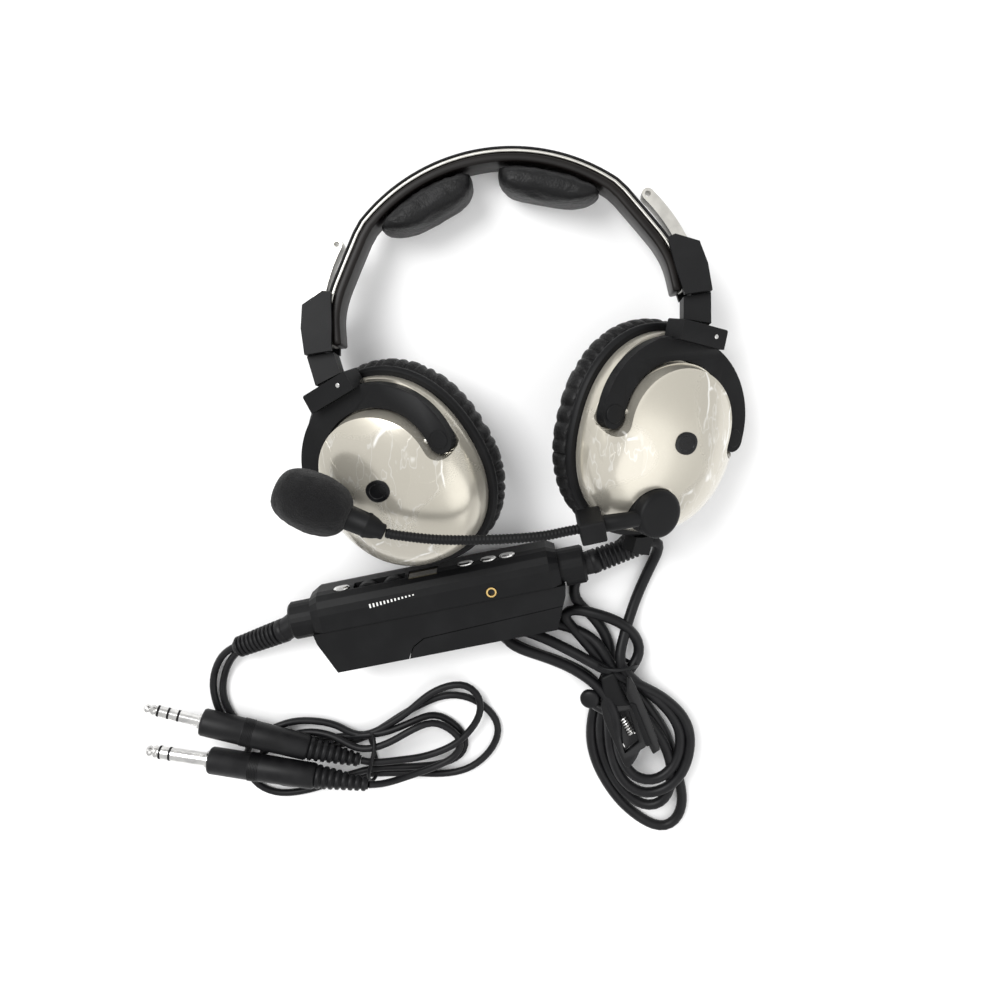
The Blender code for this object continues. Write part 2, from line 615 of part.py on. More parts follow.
def make_base(cup, name):
    """Base plate with the driver in its opening, and the padded seal below it."""
    grown = [side + PLATE_GROWTH for side in RIM]
    top = -RIM_LIP
    plate = add_object(f"base_plate_{name}", loft([
        oval(grown[0], grown[1], top - PLATE_THICK), oval(grown[0], grown[1], top - 1.2),
        oval(grown[0] - 1.2, grown[1] - 1.2, top)]), black_plastic(), cup)
    opening = DRIVER_RADIUS + GAP
    boolean(plate, revolve([(opening, top - 10), (opening, top + 10)], 32))
    driver = revolve([(DRIVER_RADIUS, top - PLATE_THICK), (DRIVER_RADIUS, top - 0.6), (12.0, top + 3.0),
                      (9.0, top + 3.0), (9.0, top + 8.0)], 32)
    add_object(f"driver_{name}", driver, material("driver_frame", (0.08, 0.08, 0.085), 0.45), cup)
    low = top - PLATE_THICK - GAP
    wide = [side + SEAL_GROWTH for side in RIM]
    open_x, open_y = SEAL_OPENING
    edge = [(2.2, 0.0), (0.4, 0.2), (0.0, 0.44), (0.8, 0.7), (3.2, 0.91), (7.5, 1.0)]
    section = [(wide[0] - inset, wide[1] - inset, -share * SEAL_DEPTH) for inset, share in edge]
    section += [(open_x + 3.5, open_y + 3.5, -0.94 * SEAL_DEPTH), (open_x, open_y, -0.7 * SEAL_DEPTH),
                (open_x - 1.0, open_y - 1.0, -0.33 * SEAL_DEPTH), (open_x, open_y, 0.0)]
    seal = loft([oval(x, y, low + z) for x, y, z in section], closed=True)
    add_object(f"ear_seal_{name}", seal, leather(), cup)


def make_side(frame, name):
    """One side of the headset, from the housing down to the cup; returns the cup's frame."""
    side = SIDE[name]
    swivel_angle, tilt = POSE[name]
    make_housing(frame, name, side)
    make_slider(frame, name, side)
    slide = make_arm(frame, name, side)
    lean = math.radians(LEAN)
    up_axis = Vector((side * math.sin(lean), 0.0, math.cos(lean)))
    outward = Vector((side * math.cos(lean), 0.0, -math.sin(lean)))
    rest = matrix_from(up_axis.cross(outward), up_axis, (0.0, 0.0, 0.0))
    swivel = empty(f"swivel_{name}", slide, rest @ turn(-side * swivel_angle, "Y"))
    yoke_frame = make_yoke(swivel, name)
    return make_cup(yoke_frame, name, tilt)


# ---- boom microphone ------------------------------------------------------------------------------
def make_boom(cup):
    """Hub on the cup, arm, clamp, gooseneck, microphone holder and foam windscreen."""
    base = revolve([(HUB_RADIUS, HUB_BASE[0]), (HUB_RADIUS, HUB_BASE[1] - GAP)], 28)
    hub = add_object("boom_hub_base", base, black_plastic(), cup, shift(*HUB_AT))
    seat = revolve([(HUB_RADIUS + GAP, HUB_BASE[0] - GAP), (HUB_RADIUS + GAP, 40.0)], 28)
    boolean(bpy.data.objects["cup_shell_left"], seat, matrix=shift(*HUB_AT))
    bevel(hub, 0.5)
    hinge = empty("boom_axis", cup, shift(HUB_AT[0], HUB_AT[1], HUB_BASE[1]))
    to_hinge = shift(-HUB_AT[0], -HUB_AT[1], -HUB_BASE[1])
    cap = add_object("boom_arm", revolve([(HUB_RADIUS, 0.0), (HUB_RADIUS, HUB_CAP_THICK)], 28),
                     black_plastic(), hinge)
    heading = Vector((BOOM_ARM_END[0] - HUB_AT[0], BOOM_ARM_END[1] - HUB_AT[1], 0.0)).normalized()
    root = Vector((*HUB_AT, HUB_BASE[1] + HUB_CAP_THICK / 2)) + heading * (HUB_RADIUS - 1.4)
    length = (Vector(BOOM_ARM_END) - Vector(root)).length
    arm = loft([oval(3.4, 2.0, z, count=16) for z in (0.0, length)])
    boolean(cap, arm, "UNION", to_hinge @ along(root, BOOM_ARM_END))
    bevel(cap, 0.6)
    heading = (Vector(NECK_ROUTE[0]) - Vector(BOOM_ARM_END)).normalized()
    clamp_frame = to_hinge @ along(CLAMP_AT, Vector(CLAMP_AT) + heading)
    half = [size / 2 for size in CLAMP_SIZE]
    clamp = add_object("boom_clamp", box((-half[2], -half[1], -half[0] + 1.8), (half[2], half[1], half[0])),
                       black_plastic(), hinge, clamp_frame)
    bevel(clamp, 0.8)
    bore = revolve([(3.0, -20.0), (3.0, 0.5)], 16)
    neck = tube("gooseneck", NECK_ROUTE, NECK_DIAMETER, 15, black_plastic(), hinge)
    neck.matrix_basis = to_hinge
    boolean(clamp, bore, matrix=clamp_frame)
    return hinge, to_hinge


def make_microphone(hinge, to_hinge):
    """Holder that tilts on the gooseneck, and the foam windscreen over the microphone."""
    start, end = HOLDER_ROUTE
    length = (Vector(end) - Vector(start)).length
    frame = empty("microphone_axis", hinge, to_hinge @ along(start, end))
    holder = revolve([(2.5, 0.2), (3.2, 0.6), (4.8, 4.0), (5.2, 7.0), (5.4, length), (4.6, length + 0.4),
                      (4.6, length + 8.0), (4.0, length + 8.8)], 20)
    add_object("microphone_holder", holder, black_plastic(), frame)
    tip = frame.matrix_basis.inverted() @ to_hinge @ (Vector(FOAM_TIP) * MM)
    foam_end = tip.z / MM
    foam_start = length - 1.6
    middle = (foam_start + foam_end) / 2
    half = (foam_end - foam_start) / 2
    outer = []
    for step in range(1, 12):
        angle = math.pi * step / 12
        outer.append((FOAM_RADIUS * math.sin(angle) ** 0.62, middle - half * math.cos(angle)))
    socket = [(1.0, length + 11.0), (5.0, length + 10.6), (5.75, length + 0.8), (5.75, foam_start + 0.1)]
    foam = revolve(socket + outer + [(1.5, foam_end)], 20)
    add_object("windscreen", foam, material("black_foam", (0.015, 0.015, 0.016), 0.95), frame)


# ---- control module -------------------------------------------------------------------------------
def rounded(low_v, high_v, low_w, high_w, radius_low, radius_high, steps=4):
    """Section of the module in (v, w), with its own corner radii at low and high v."""
    corners = [(high_v, high_w, radius_high, 0), (low_v, high_w, radius_low, 90),
               (low_v, low_w, radius_low, 180), (high_v, low_w, radius_high, 270)]
    points = []
    for v, w, radius, start in corners:
        sign_v = 1 if v == high_v else -1
        sign_w = 1 if w == high_w else -1
        centre = (v - sign_v * radius, w - sign_w * radius)
        for step in range(steps + 1):
            angle = math.radians(start + 90 * step / steps)
            points.append((centre[0] + radius * math.cos(angle), centre[1] + radius * math.sin(angle)))
    return points


def module_loft(stations):
    """Skin module sections given as (u, section)."""
    return loft([[Vector((u, v, w)) for v, w in section] for u, section in stations])


def make_module(table):
    """Control module lying on its side, with everything that it holds."""
    frame = empty("module_frame", table, shift(MODULE_AT[0], MODULE_AT[1]) @ turn(MODULE_TURN, "Z"))
    upper = make_upper_shell(frame)
    make_lower_shell(frame)
    make_controls(frame, upper)
    return frame


def make_upper_shell(frame):
    """Half with the buttons, wheels and display, and the two cable stubs."""
    start, end = MODULE_BODY
    full = rounded(MODULE_SEAM, MODULE_TOP, 0.0, MODULE_THICK, 0.8, 8.5)
    shy = rounded(MODULE_SEAM, MODULE_TOP - 2.2, 2.2, MODULE_THICK - 2.2, 0.8, 7.0)
    upper = add_object("module_upper_shell", module_loft([(start, shy), (start + 4.0, full), (end - 4.0, full),
                                                          (end, shy)]), black_plastic(), frame)
    stub = revolve([(STUB_RADIUS - 1, STUB_ENDS[0]), (STUB_RADIUS, STUB_ENDS[0] + 1.2),
                    (STUB_RADIUS, STUB_ENDS[1] - 1.2), (STUB_RADIUS - 1, STUB_ENDS[1])], 28)
    lengthwise = shift(0.0, 0.0, AXIS_W) @ turn(90, "Y")
    boolean(upper, stub, "UNION", lengthwise)
    hollow = rounded(MODULE_SEAM - 12.0, MODULE_TOP - MODULE_WALL, MODULE_WALL, MODULE_THICK - MODULE_WALL, 2.0, 6.0)
    boolean(upper, module_loft([(start + MODULE_WALL, hollow), (end - MODULE_WALL, hollow)]))
    seam_cut = box((FOOT_SLOPE[0] - 0.6, -40.0, -1.0), (FOOT_SLOPE[3] + 0.6, MODULE_SEAM, MODULE_THICK + 1))
    boolean(upper, seam_cut)
    return upper


def make_lower_shell(frame):
    """Battery half of the casing, its door and the two cells."""
    low_w, high_w = FOOT_INSET, MODULE_THICK - FOOT_INSET
    seam = MODULE_SEAM - GAP
    outline = [(FOOT_SLOPE[0], seam), (FOOT_SLOPE[0] + 0.6, -9.0), (FOOT_SLOPE[1], MODULE_FOOT),
               (FOOT_SLOPE[2], MODULE_FOOT), (FOOT_SLOPE[3] - 0.8, -9.0), (FOOT_SLOPE[3], seam)]
    lower = add_object("module_lower_shell", prism(outline, low_w, high_w), black_plastic(), frame)
    door_outline = DOOR_EDGE + [(140.0, -13.2), (140.0, -40.0), (50.0, -40.0)]
    cavity = (18.3, 119.6, -20.9, 0.0, AXIS_W - 7.6, AXIS_W + 7.6)
    for target in (lower,):
        boolean(target, prism(door_outline, -5.0, 40.0))
        boolean(target, box((cavity[0], cavity[2], cavity[4]), (cavity[1], cavity[3], cavity[5])))
    edge = [DOOR_EDGE[0], DOOR_EDGE[1], DOOR_EDGE[2], DOOR_EDGE[3]]
    shrunk = [(u + 0.35, v - 0.35) for u, v in edge]
    slope = (FOOT_SLOPE[3] - 0.8 - FOOT_SLOPE[2]) / (-9.0 - MODULE_FOOT)
    corner = FOOT_SLOPE[2] + slope * (shrunk[3][1] - MODULE_FOOT)
    shrunk[3] = (corner, shrunk[3][1])
    shrunk[0] = (shrunk[0][0], MODULE_FOOT)
    door = add_object("battery_door", prism(shrunk + [(FOOT_SLOPE[2], MODULE_FOOT)], low_w, high_w),
                      black_plastic(), frame)
    boolean(door, box((cavity[0], cavity[2], cavity[4]), (cavity[1], cavity[3], cavity[5])))
    middle_v = -13.4
    for number in (1, 2):
        cell_start = cavity[0] + 0.3 + (number - 1) * (CELL_LENGTH + 0.3)
        cell = revolve([(CELL_RADIUS, 0.0), (CELL_RADIUS, CELL_LENGTH - 1.2), (2.6, CELL_LENGTH - 1.0),
                        (2.6, CELL_LENGTH)], 20)
        add_object(f"battery_{number}", cell, material("cell_wrap", (0.05, 0.06, 0.1), 0.35, 0.3), frame,
                   shift(cell_start, middle_v, AXIS_W) @ turn(90, "Y"))


def make_controls(frame, upper):
    """Buttons, volume wheels, display window, circuit board and auxiliary jack."""
    for name, u in BUTTON_PLACES.items():
        half = [size / 2 for size in BUTTON_SIZE]
        hole = oval(half[0] + GAP, half[1] + GAP, 0.0, count=20)
        cut = loft([[Vector((point.x, level, point.y)) for point in hole] for level in (4.0, 20.0)])
        boolean(upper, cut, matrix=shift(u, 0.0, BUTTON_W))
        axis = empty(f"{name}_axis", frame, shift(u, MODULE_TOP, BUTTON_W))
        crown = [(half[0], half[1], -4.2), (half[0], half[1], 0.1), (half[0] - 0.7, half[1] - 0.7, 0.7)]
        button = loft([[Vector((point.x, level, point.y)) for point in oval(x, y, 0.0, count=20)]
                       for x, y, level in crown])
        add_object(name, button, bright_metal(), axis)
    for number, (u, w) in enumerate(WHEEL_PLACES, 1):
        centre_v = MODULE_TOP + 0.4 - WHEEL_RADIUS
        axis = empty(f"volume_wheel_{number}_axis", frame, shift(u, centre_v, w))
        half = WHEEL_THICK / 2
        wheel = revolve([(WHEEL_RADIUS - 0.5, -half), (WHEEL_RADIUS, -half + 0.5), (WHEEL_RADIUS, half - 0.5),
                         (WHEEL_RADIUS - 0.5, half)], 28)
        add_object(f"volume_wheel_{number}", wheel, black_plastic(), axis)
    first, last = WHEEL_PLACES[0], WHEEL_PLACES[-1]
    reach = WHEEL_RADIUS + 0.5
    half = WHEEL_THICK / 2 + 0.5
    window_low = (first[0] - reach, MODULE_TOP - 2 * WHEEL_RADIUS - 0.4, first[1] - half)
    boolean(upper, box(window_low, (last[0] + reach, MODULE_TOP + 5, last[1] + half)))
    low_w, high_w = BUTTON_W - 4.4, BUTTON_W + 3.4
    boolean(upper, box((WINDOW_SPAN[0], 4.0, low_w), (WINDOW_SPAN[1], 20.0, high_w)))
    add_object("display_window", box((WINDOW_SPAN[0] + GAP, MODULE_TOP - 3.4, low_w + GAP),
                                     (WINDOW_SPAN[1] - GAP, MODULE_TOP - 0.6, high_w - GAP)),
               material("smoked_lens", (0.05, 0.045, 0.03), 0.1), frame)
    board_v = MODULE_SEAM + 0.8
    add_object("circuit_board", box((17.0, board_v, 5.0), (118.0, board_v + 1.6, MODULE_THICK - 5.0)),
               material("board_green", (0.02, 0.16, 0.06), 0.4), frame)
    bore = revolve([(JACK_RADIUS + GAP, 15.0), (JACK_RADIUS + GAP, 40.0)], 20)
    boolean(upper, bore, matrix=shift(*JACK_AT))
    ring = revolve([(JACK_RADIUS, MODULE_THICK - 4.0), (JACK_RADIUS, MODULE_THICK + 0.1),
                    (1.6, MODULE_THICK + 0.1), (1.6, MODULE_THICK - 4.0)], 20, closed=True)
    add_object("auxiliary_jack", ring, material("brass", (0.72, 0.5, 0.2), 0.3, 1.0), frame, shift(*JACK_AT))


# ---- cords, reliefs, plugs and clip ----------------------------------------------------------------
def ribbed(start_radius, end_radius, length, ribs, start=0.0):
    """Tapered profile with square ribs, as (radius, z) points."""
    points = []
    pitch = length / ribs
    for rib in range(ribs):
        z = start + rib * pitch
        radius = start_radius + (end_radius - start_radius) * (rib + 0.5) / ribs
        points += [(radius, z + pitch * 0.08), (radius, z + pitch * 0.6), (radius - 0.75, z + pitch * 0.68),
                   (radius - 0.75, z + pitch)]
    return points


def make_reliefs(table):
    """Ribbed strain reliefs at the module's ends."""
    for name, (start, end) in RELIEFS.items():
        profile = [(5.6, 0.0), (5.6, 3.0)] + ribbed(5.2, 3.7, RELIEF_LENGTH - 3.4, 6, 3.4)
        add_object(f"module_relief_{name}", revolve(profile, 14), rubber(), table, along(start, end))


def make_plugs(table):
    """Moulded plug bodies with ribbed tails, and their metal contacts."""
    for name, (start, end) in PLUGS.items():
        profile = [(PLUG_RADIUS - 0.8, 0.0), (PLUG_RADIUS, 0.8), (PLUG_RADIUS, 20.0), (PLUG_RADIUS + 0.35, 20.4),
                   (PLUG_RADIUS + 0.35, 24.6), (PLUG_RADIUS, 25.0), (PLUG_RADIUS - 0.3, PLUG_BODY - 0.6)]
        profile += ribbed(PLUG_RADIUS - 0.7, 3.3, PLUG_TAIL, 5, PLUG_BODY)
        add_object(f"plug_body_{name}", revolve(profile, 16), rubber(), table, along(start, end))
        back = Vector(start) - (Vector(end) - Vector(start)).normalized() * GAP
        ahead = 2 * back - Vector(end)
        radius, length = CONTACT_RADIUS[name], CONTACT_LENGTH[name]
        contact = [(radius + 1.0, 0.0), (radius + 1.0, 0.9), (radius, 1.0), (radius, length - 6.6),
                   (radius - 0.5, length - 6.2), (radius, length - 5.4), (radius - 0.9, length - 3.0),
                   (radius - 0.3, length - 2.0), (0.6, length)]
        add_object(f"plug_contact_{name}", revolve(contact, 16), bright_metal(), table, along(back, ahead))


def make_cords(table, cup):
    """Cup gland, the free leads and the plain outer shapes of the coil and the hank."""
    gland = add_object("cord_gland", box((-4.6, -4.6, -4.0), (4.6, 4.0, 4.0)), black_plastic(), cup,
                       shift(*GLAND_AT))
    for growth, low, high in ((PLATE_GROWTH, -7.0, 20.0), (SEAL_GROWTH, -30.0, -6.0)):
        edge = [side + growth + GAP for side in RIM]
        boolean(gland, loft([oval(edge[0], edge[1], level) for level in (low, high)]))
    bevel(gland, 0.8)
    tube("main_cord_cup_lead", GLAND_LEAD, CORD_DIAMETER, 12, rubber(), table)
    tube("main_cord_module_lead", MODULE_LEAD, CORD_DIAMETER, 11, rubber(), table)
    for name, route in TWIN_LEADS.items():
        tube(f"twin_cord_{name}_lead", route, TWIN_DIAMETER, 9, rubber(), table)
    add_object("main_cord_coil", prism(smooth_outline(COIL_OUTLINE, 48), 0.0, COIL_HEIGHT), rubber(), table)
    hank = add_object("twin_cord_hank", prism(smooth_outline(HANK_RIGHT, 28), 0.0, HANK_HEIGHT["right"]),
                      rubber(), table)
    boolean(hank, prism(smooth_outline(HANK_LEFT, 28), 0.0, HANK_HEIGHT["left"]), "UNION")


def make_clip(table):
    """Clothing clip on the coil: a base with its knob and a sprung jaw on a hinge."""
    frame = empty("clip_frame", table, shift(CLIP_AT[0], CLIP_AT[1], COIL_HEIGHT + GAP) @ turn(CLIP_TURN, "Z"))
    half_width, half_length = CLIP_SIZE[0] / 2, CLIP_SIZE[1] / 2
    thick = CLIP_SIZE[2]
    base = add_object("clip_base", box((-half_width, -half_length, 0.0), (half_width, half_length, thick)),
                      material("gloss_black", (0.015, 0.015, 0.016), 0.2), frame)
    post = box((-half_width + 4.2, 4.0, 1.0), (half_width - 4.2, 9.0, thick + 5.0))
    boolean(base, post, "UNION")
    knob = revolve([(6.0, 0.0), (6.0, 5.0)], 20)
    boolean(base, knob, "UNION", shift(-half_width - 4.0, 6.0, 0.0))
    hinge = empty("clip_axis", frame, shift(0.0, 6.5, thick + 2.6))
    jaw = add_object("clip_jaw", box((-half_width, -half_length - 6.5, 0.6), (half_width, half_length - 6.5, 3.2)),
                     material("gloss_black", (0.015, 0.015, 0.016), 0.2), hinge)
    boolean(jaw, box((-half_width + 3.8, -2.9, -3.0), (half_width - 3.8, 2.9, 6.0)))
    bevel(base, 0.6)
    bevel(jaw, 0.6)


def main():
    """Build the whole headset with its module and cords."""
    clear_scene()
    table = empty("table", None, shift(-FOOTPRINT[0], -FOOTPRINT[1]))
    lying = shift(*HEAD_POSITION) @ turn(HEAD_TURN, "Z") @ turn(-90 - HEAD_TILT, "X")
    head = empty("headset_frame", table, lying)
    make_band(head)
    cups = {name: make_side(head, name) for name in SIDE}
    hinge, to_hinge = make_boom(cups["left"])
    make_microphone(hinge, to_hinge)
    make_module(table)
    make_reliefs(table)
    make_plugs(table)
    make_cords(table, cups["left"])
    make_clip(table)


main()
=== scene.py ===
"""Looks of an aviation headset lying on a table, with its control module, plugs and cords.

Sizes are in millimetres unless a name says otherwise, and are scaled to metres when a mesh is made.
"""
import logging
import math
import random
from dataclasses import dataclass
from enum import Enum
from typing import Any, Callable, Iterable, Sequence

import bmesh
import bpy
from mathutils import Matrix, Vector, noise


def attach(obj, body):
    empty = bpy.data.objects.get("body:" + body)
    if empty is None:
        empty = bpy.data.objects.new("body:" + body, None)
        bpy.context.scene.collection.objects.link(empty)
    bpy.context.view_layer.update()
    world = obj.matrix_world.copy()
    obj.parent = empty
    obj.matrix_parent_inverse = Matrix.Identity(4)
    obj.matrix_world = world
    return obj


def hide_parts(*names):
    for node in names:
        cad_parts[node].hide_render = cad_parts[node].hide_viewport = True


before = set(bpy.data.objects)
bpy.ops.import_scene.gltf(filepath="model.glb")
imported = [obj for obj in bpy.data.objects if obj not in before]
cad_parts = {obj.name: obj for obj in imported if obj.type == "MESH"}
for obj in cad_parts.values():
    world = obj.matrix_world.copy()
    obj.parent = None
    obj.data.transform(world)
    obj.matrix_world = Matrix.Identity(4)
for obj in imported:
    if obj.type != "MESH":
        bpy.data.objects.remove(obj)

LOG = logging.getLogger("headset")
MM = 0.001
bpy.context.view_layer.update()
Point = Sequence[float]


class Side(Enum):
    """The wearer's two sides, and the sign of x that each has in the headband's frame."""

    LEFT = 1
    RIGHT = -1

    @property
    def word(self) -> str:
        """The side's name in node and body names."""
        return self.name.lower()


class Slot(Enum):
    """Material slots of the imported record."""

    PLASTIC = "black_plastic"
    LEATHER = "black_leather"
    RUBBER = "black_rubber"
    SATIN = "satin_silver"
    METAL = "bright_metal"
    FOAM = "black_foam"
    GLOSS = "gloss_black"
    LENS = "smoked_lens"
    BOARD = "board_green"
    BRASS = "brass_plating"
    CELL = "cell_wrap"
    FRAME = "driver_frame"


# ---- shader maths ---------------------------------------------------------------------------------
class Value:
    """A number that changes over a surface, written as an expression."""

    def __init__(self, sheet: "Sheet", socket: bpy.types.NodeSocket) -> None:
        """Wrap one output socket of a sheet's node."""
        self.sheet = sheet
        self.socket = socket

    def _math(self, operation: str, *others: Any) -> "Value":
        """Add one Math node.

        Args:
            operation: the node's operation.
            others: its inputs, as numbers or values.

        Returns:
            The node's output.
        """
        return self.sheet.node("ShaderNodeMath", {"operation": operation}, dict(enumerate(others)))

    def __add__(self, other: Any) -> "Value":
        """Sum."""
        return self._math("ADD", self, other)

    __radd__ = __add__

    def __mul__(self, other: Any) -> "Value":
        """Product."""
        return self._math("MULTIPLY", self, other)

    __rmul__ = __mul__

    def __sub__(self, other: Any) -> "Value":
        """Difference."""
        return self._math("SUBTRACT", self, other)

    def __rsub__(self, other: Any) -> "Value":
        """Difference, reflected, as in 1 - mask."""
        return self._math("SUBTRACT", other, self)

    def __abs__(self) -> "Value":
        """Size without its sign."""
        return self._math("ABSOLUTE", self)

    def __pow__(self, other: Any) -> "Value":
        """Power."""
        return self._math("POWER", self, other)

    def within(self, low: float, high: float) -> "Value":
        """Rescale low..high to 0..1 with a smooth step, clamped."""
        settings = {"interpolation_type": "SMOOTHSTEP"}
        return self.sheet.node("ShaderNodeMapRange", settings, {"Value": self, "From Min": low, "From Max": high},
                               "Result")


class Sheet:
    """One material's node tree, with its Principled shader ready."""

    def __init__(self, name: str, **constants: Any) -> None:
        """Start a material.

        Args:
            name: the material's name.
            constants: Principled inputs that are the same all over, with underscores for spaces.
        """
        self.material = bpy.data.materials.new(name)
        self.material.use_nodes = True
        self.tree = self.material.node_tree
        self.shader = self.tree.nodes["Principled BSDF"]
        for key, value in constants.items():
            self.shader.inputs[key.replace("_", " ")].default_value = value

    def node(self, kind: str, settings: dict | None = None, inputs: dict | None = None,
             output: str | int = 0) -> Value:
        """Add a node.

        Args:
            kind: the node's type.
            settings: its own settings, set first; "stops" gives a ramp's positions and colours.
            inputs: numbers, colours or values for its sockets, by name or place.
            output: which output to return.

        Returns:
            The chosen output.
        """
        made = self.tree.nodes.new(kind)
        for key, value in (settings or {}).items():
            if key == "stops":
                ramp = made.color_ramp.elements
                while len(ramp) < len(value):
                    ramp.new(0.5)
                for element, (place, colour) in zip(ramp, value):
                    element.position = place
                    element.color = (*colour, 1.0)
            else:
                setattr(made, key, value)
        for key, value in (inputs or {}).items():
            if isinstance(value, Value):
                self.tree.links.new(value.socket, made.inputs[key])
            else:
                made.inputs[key].default_value = value
        return Value(self, made.outputs[output])

    def place(self, stretch: Point = (1.0, 1.0, 1.0)) -> Value:
        """Object position in metres, stretched along the axes.

        Args:
            stretch: factors along x, y and z.

        Returns:
            The stretched position.
        """
        position = self.node("ShaderNodeTexCoord", output="Object")
        return self.node("ShaderNodeVectorMath", {"operation": "MULTIPLY"}, {0: position, 1: tuple(stretch)})

    def noise(self, scale: float, detail: float = 3.0, stretch: Point = (1.0, 1.0, 1.0),
              roughness: float = 0.5) -> Value:
        """Noise of a scale in features per metre.

        Args:
            scale: features per metre.
            detail: octaves.
            stretch: factors on the position.
            roughness: strength of the finer octaves.

        Returns:
            A value around 0.5.
        """
        inputs = {"Vector": self.place(stretch), "Scale": scale, "Detail": detail, "Roughness": roughness}
        return self.node("ShaderNodeTexNoise", None, inputs)

    def cells(self, scale: float, feature: str = "F1", output: str = "Distance") -> Value:
        """Voronoi cells.

        Args:
            scale: cells per metre.
            feature: the texture's feature.
            output: which output to return.

        Returns:
            The chosen output.
        """
        return self.node("ShaderNodeTexVoronoi", {"feature": feature}, {"Vector": self.place(), "Scale": scale},
                         output)

    def blend(self, mask: Value, first: Point, second: Point) -> Value:
        """Mix two colours by a mask.

        Args:
            mask: 0 gives the first colour and 1 the second.
            first: linear colour.
            second: linear colour.

        Returns:
            The mixed colour.
        """
        return self.node("ShaderNodeMix", {"data_type": "RGBA"},
                         {"Factor": mask, 6: (*first, 1.0), 7: (*second, 1.0)}, 2)

    def feed(self, **links: Value) -> None:
        """Link values into the shader, with underscores for spaces."""
        for key, value in links.items():
            self.tree.links.new(value.socket, self.shader.inputs[key.replace("_", " ")])

    def relief(self, height: Value, depth_mm: float, strength: float = 1.0) -> None:
        """Feed a height into the normal through a Bump node.

        Args:
            height: the surface's height, 0 to 1.
            depth_mm: how far 1 stands above 0.
            strength: the Bump node's strength.
        """
        bump = self.node("ShaderNodeBump", None,
                         {"Height": height, "Distance": depth_mm * MM, "Strength": strength}, "Normal")
        self.feed(Normal=bump)


# ---- finishes -------------------------------------------------------------------------------------
@dataclass(frozen=True)
class MouldedPlastic:
    """Matte moulded plastic: fine spark-eroded grain, faint dust and rubbed patches."""

    name: str
    colour: Point = (0.0032, 0.0033, 0.0037)
    rubbed: Point = (0.0068, 0.007, 0.0075)
    roughness: float = 0.5
    grain_mm: float = 0.05

    def make(self) -> bpy.types.Material:
        """Build the material.

        Returns:
            The finished material.
        """
        sheet = Sheet(self.name, Roughness=self.roughness, Specular_IOR_Level=0.17)
        patches = sheet.noise(70.0, 4.0)
        grain = sheet.noise(2600.0, 2.0)
        sheet.feed(Base_Color=sheet.blend(patches.within(0.42, 0.72) * 0.6 + grain * 0.25, self.colour, self.rubbed),
                   Roughness=self.roughness - 0.08 + patches * 0.12 + grain * 0.06)
        sheet.relief(grain * 0.7 + sheet.noise(900.0, 2.0) * 0.3, self.grain_mm)
        return sheet.material


@dataclass(frozen=True)
class PleatedLeather:
    """Thin black leatherette: pebbled grain, fine creases that catch the light, softer sheen on top."""

    name: str
    colour: Point = (0.0028, 0.0028, 0.003)
    worn: Point = (0.006, 0.006, 0.0065)
    pebble: float = 1300.0
    crease_mm: float = 0.16

    def make(self) -> bpy.types.Material:
        """Build the material.

        Returns:
            The finished material.
        """
        sheet = Sheet(self.name, Roughness=0.42, Specular_IOR_Level=0.22)
        pebbles = sheet.cells(self.pebble)
        creases = sheet.noise(210.0, 5.0, (1.0, 1.0, 1.0), 0.62)
        folds = abs(creases - 0.5).within(0.0, 0.09)
        tone = sheet.noise(60.0, 3.0)
        sheet.feed(Base_Color=sheet.blend(tone * 0.5 + pebbles * 0.3, self.colour, self.worn),
                   Roughness=0.36 + tone * 0.1 + pebbles * 0.12)
        sheet.relief(folds * 0.3 + pebbles * 0.7, self.crease_mm)
        return sheet.material


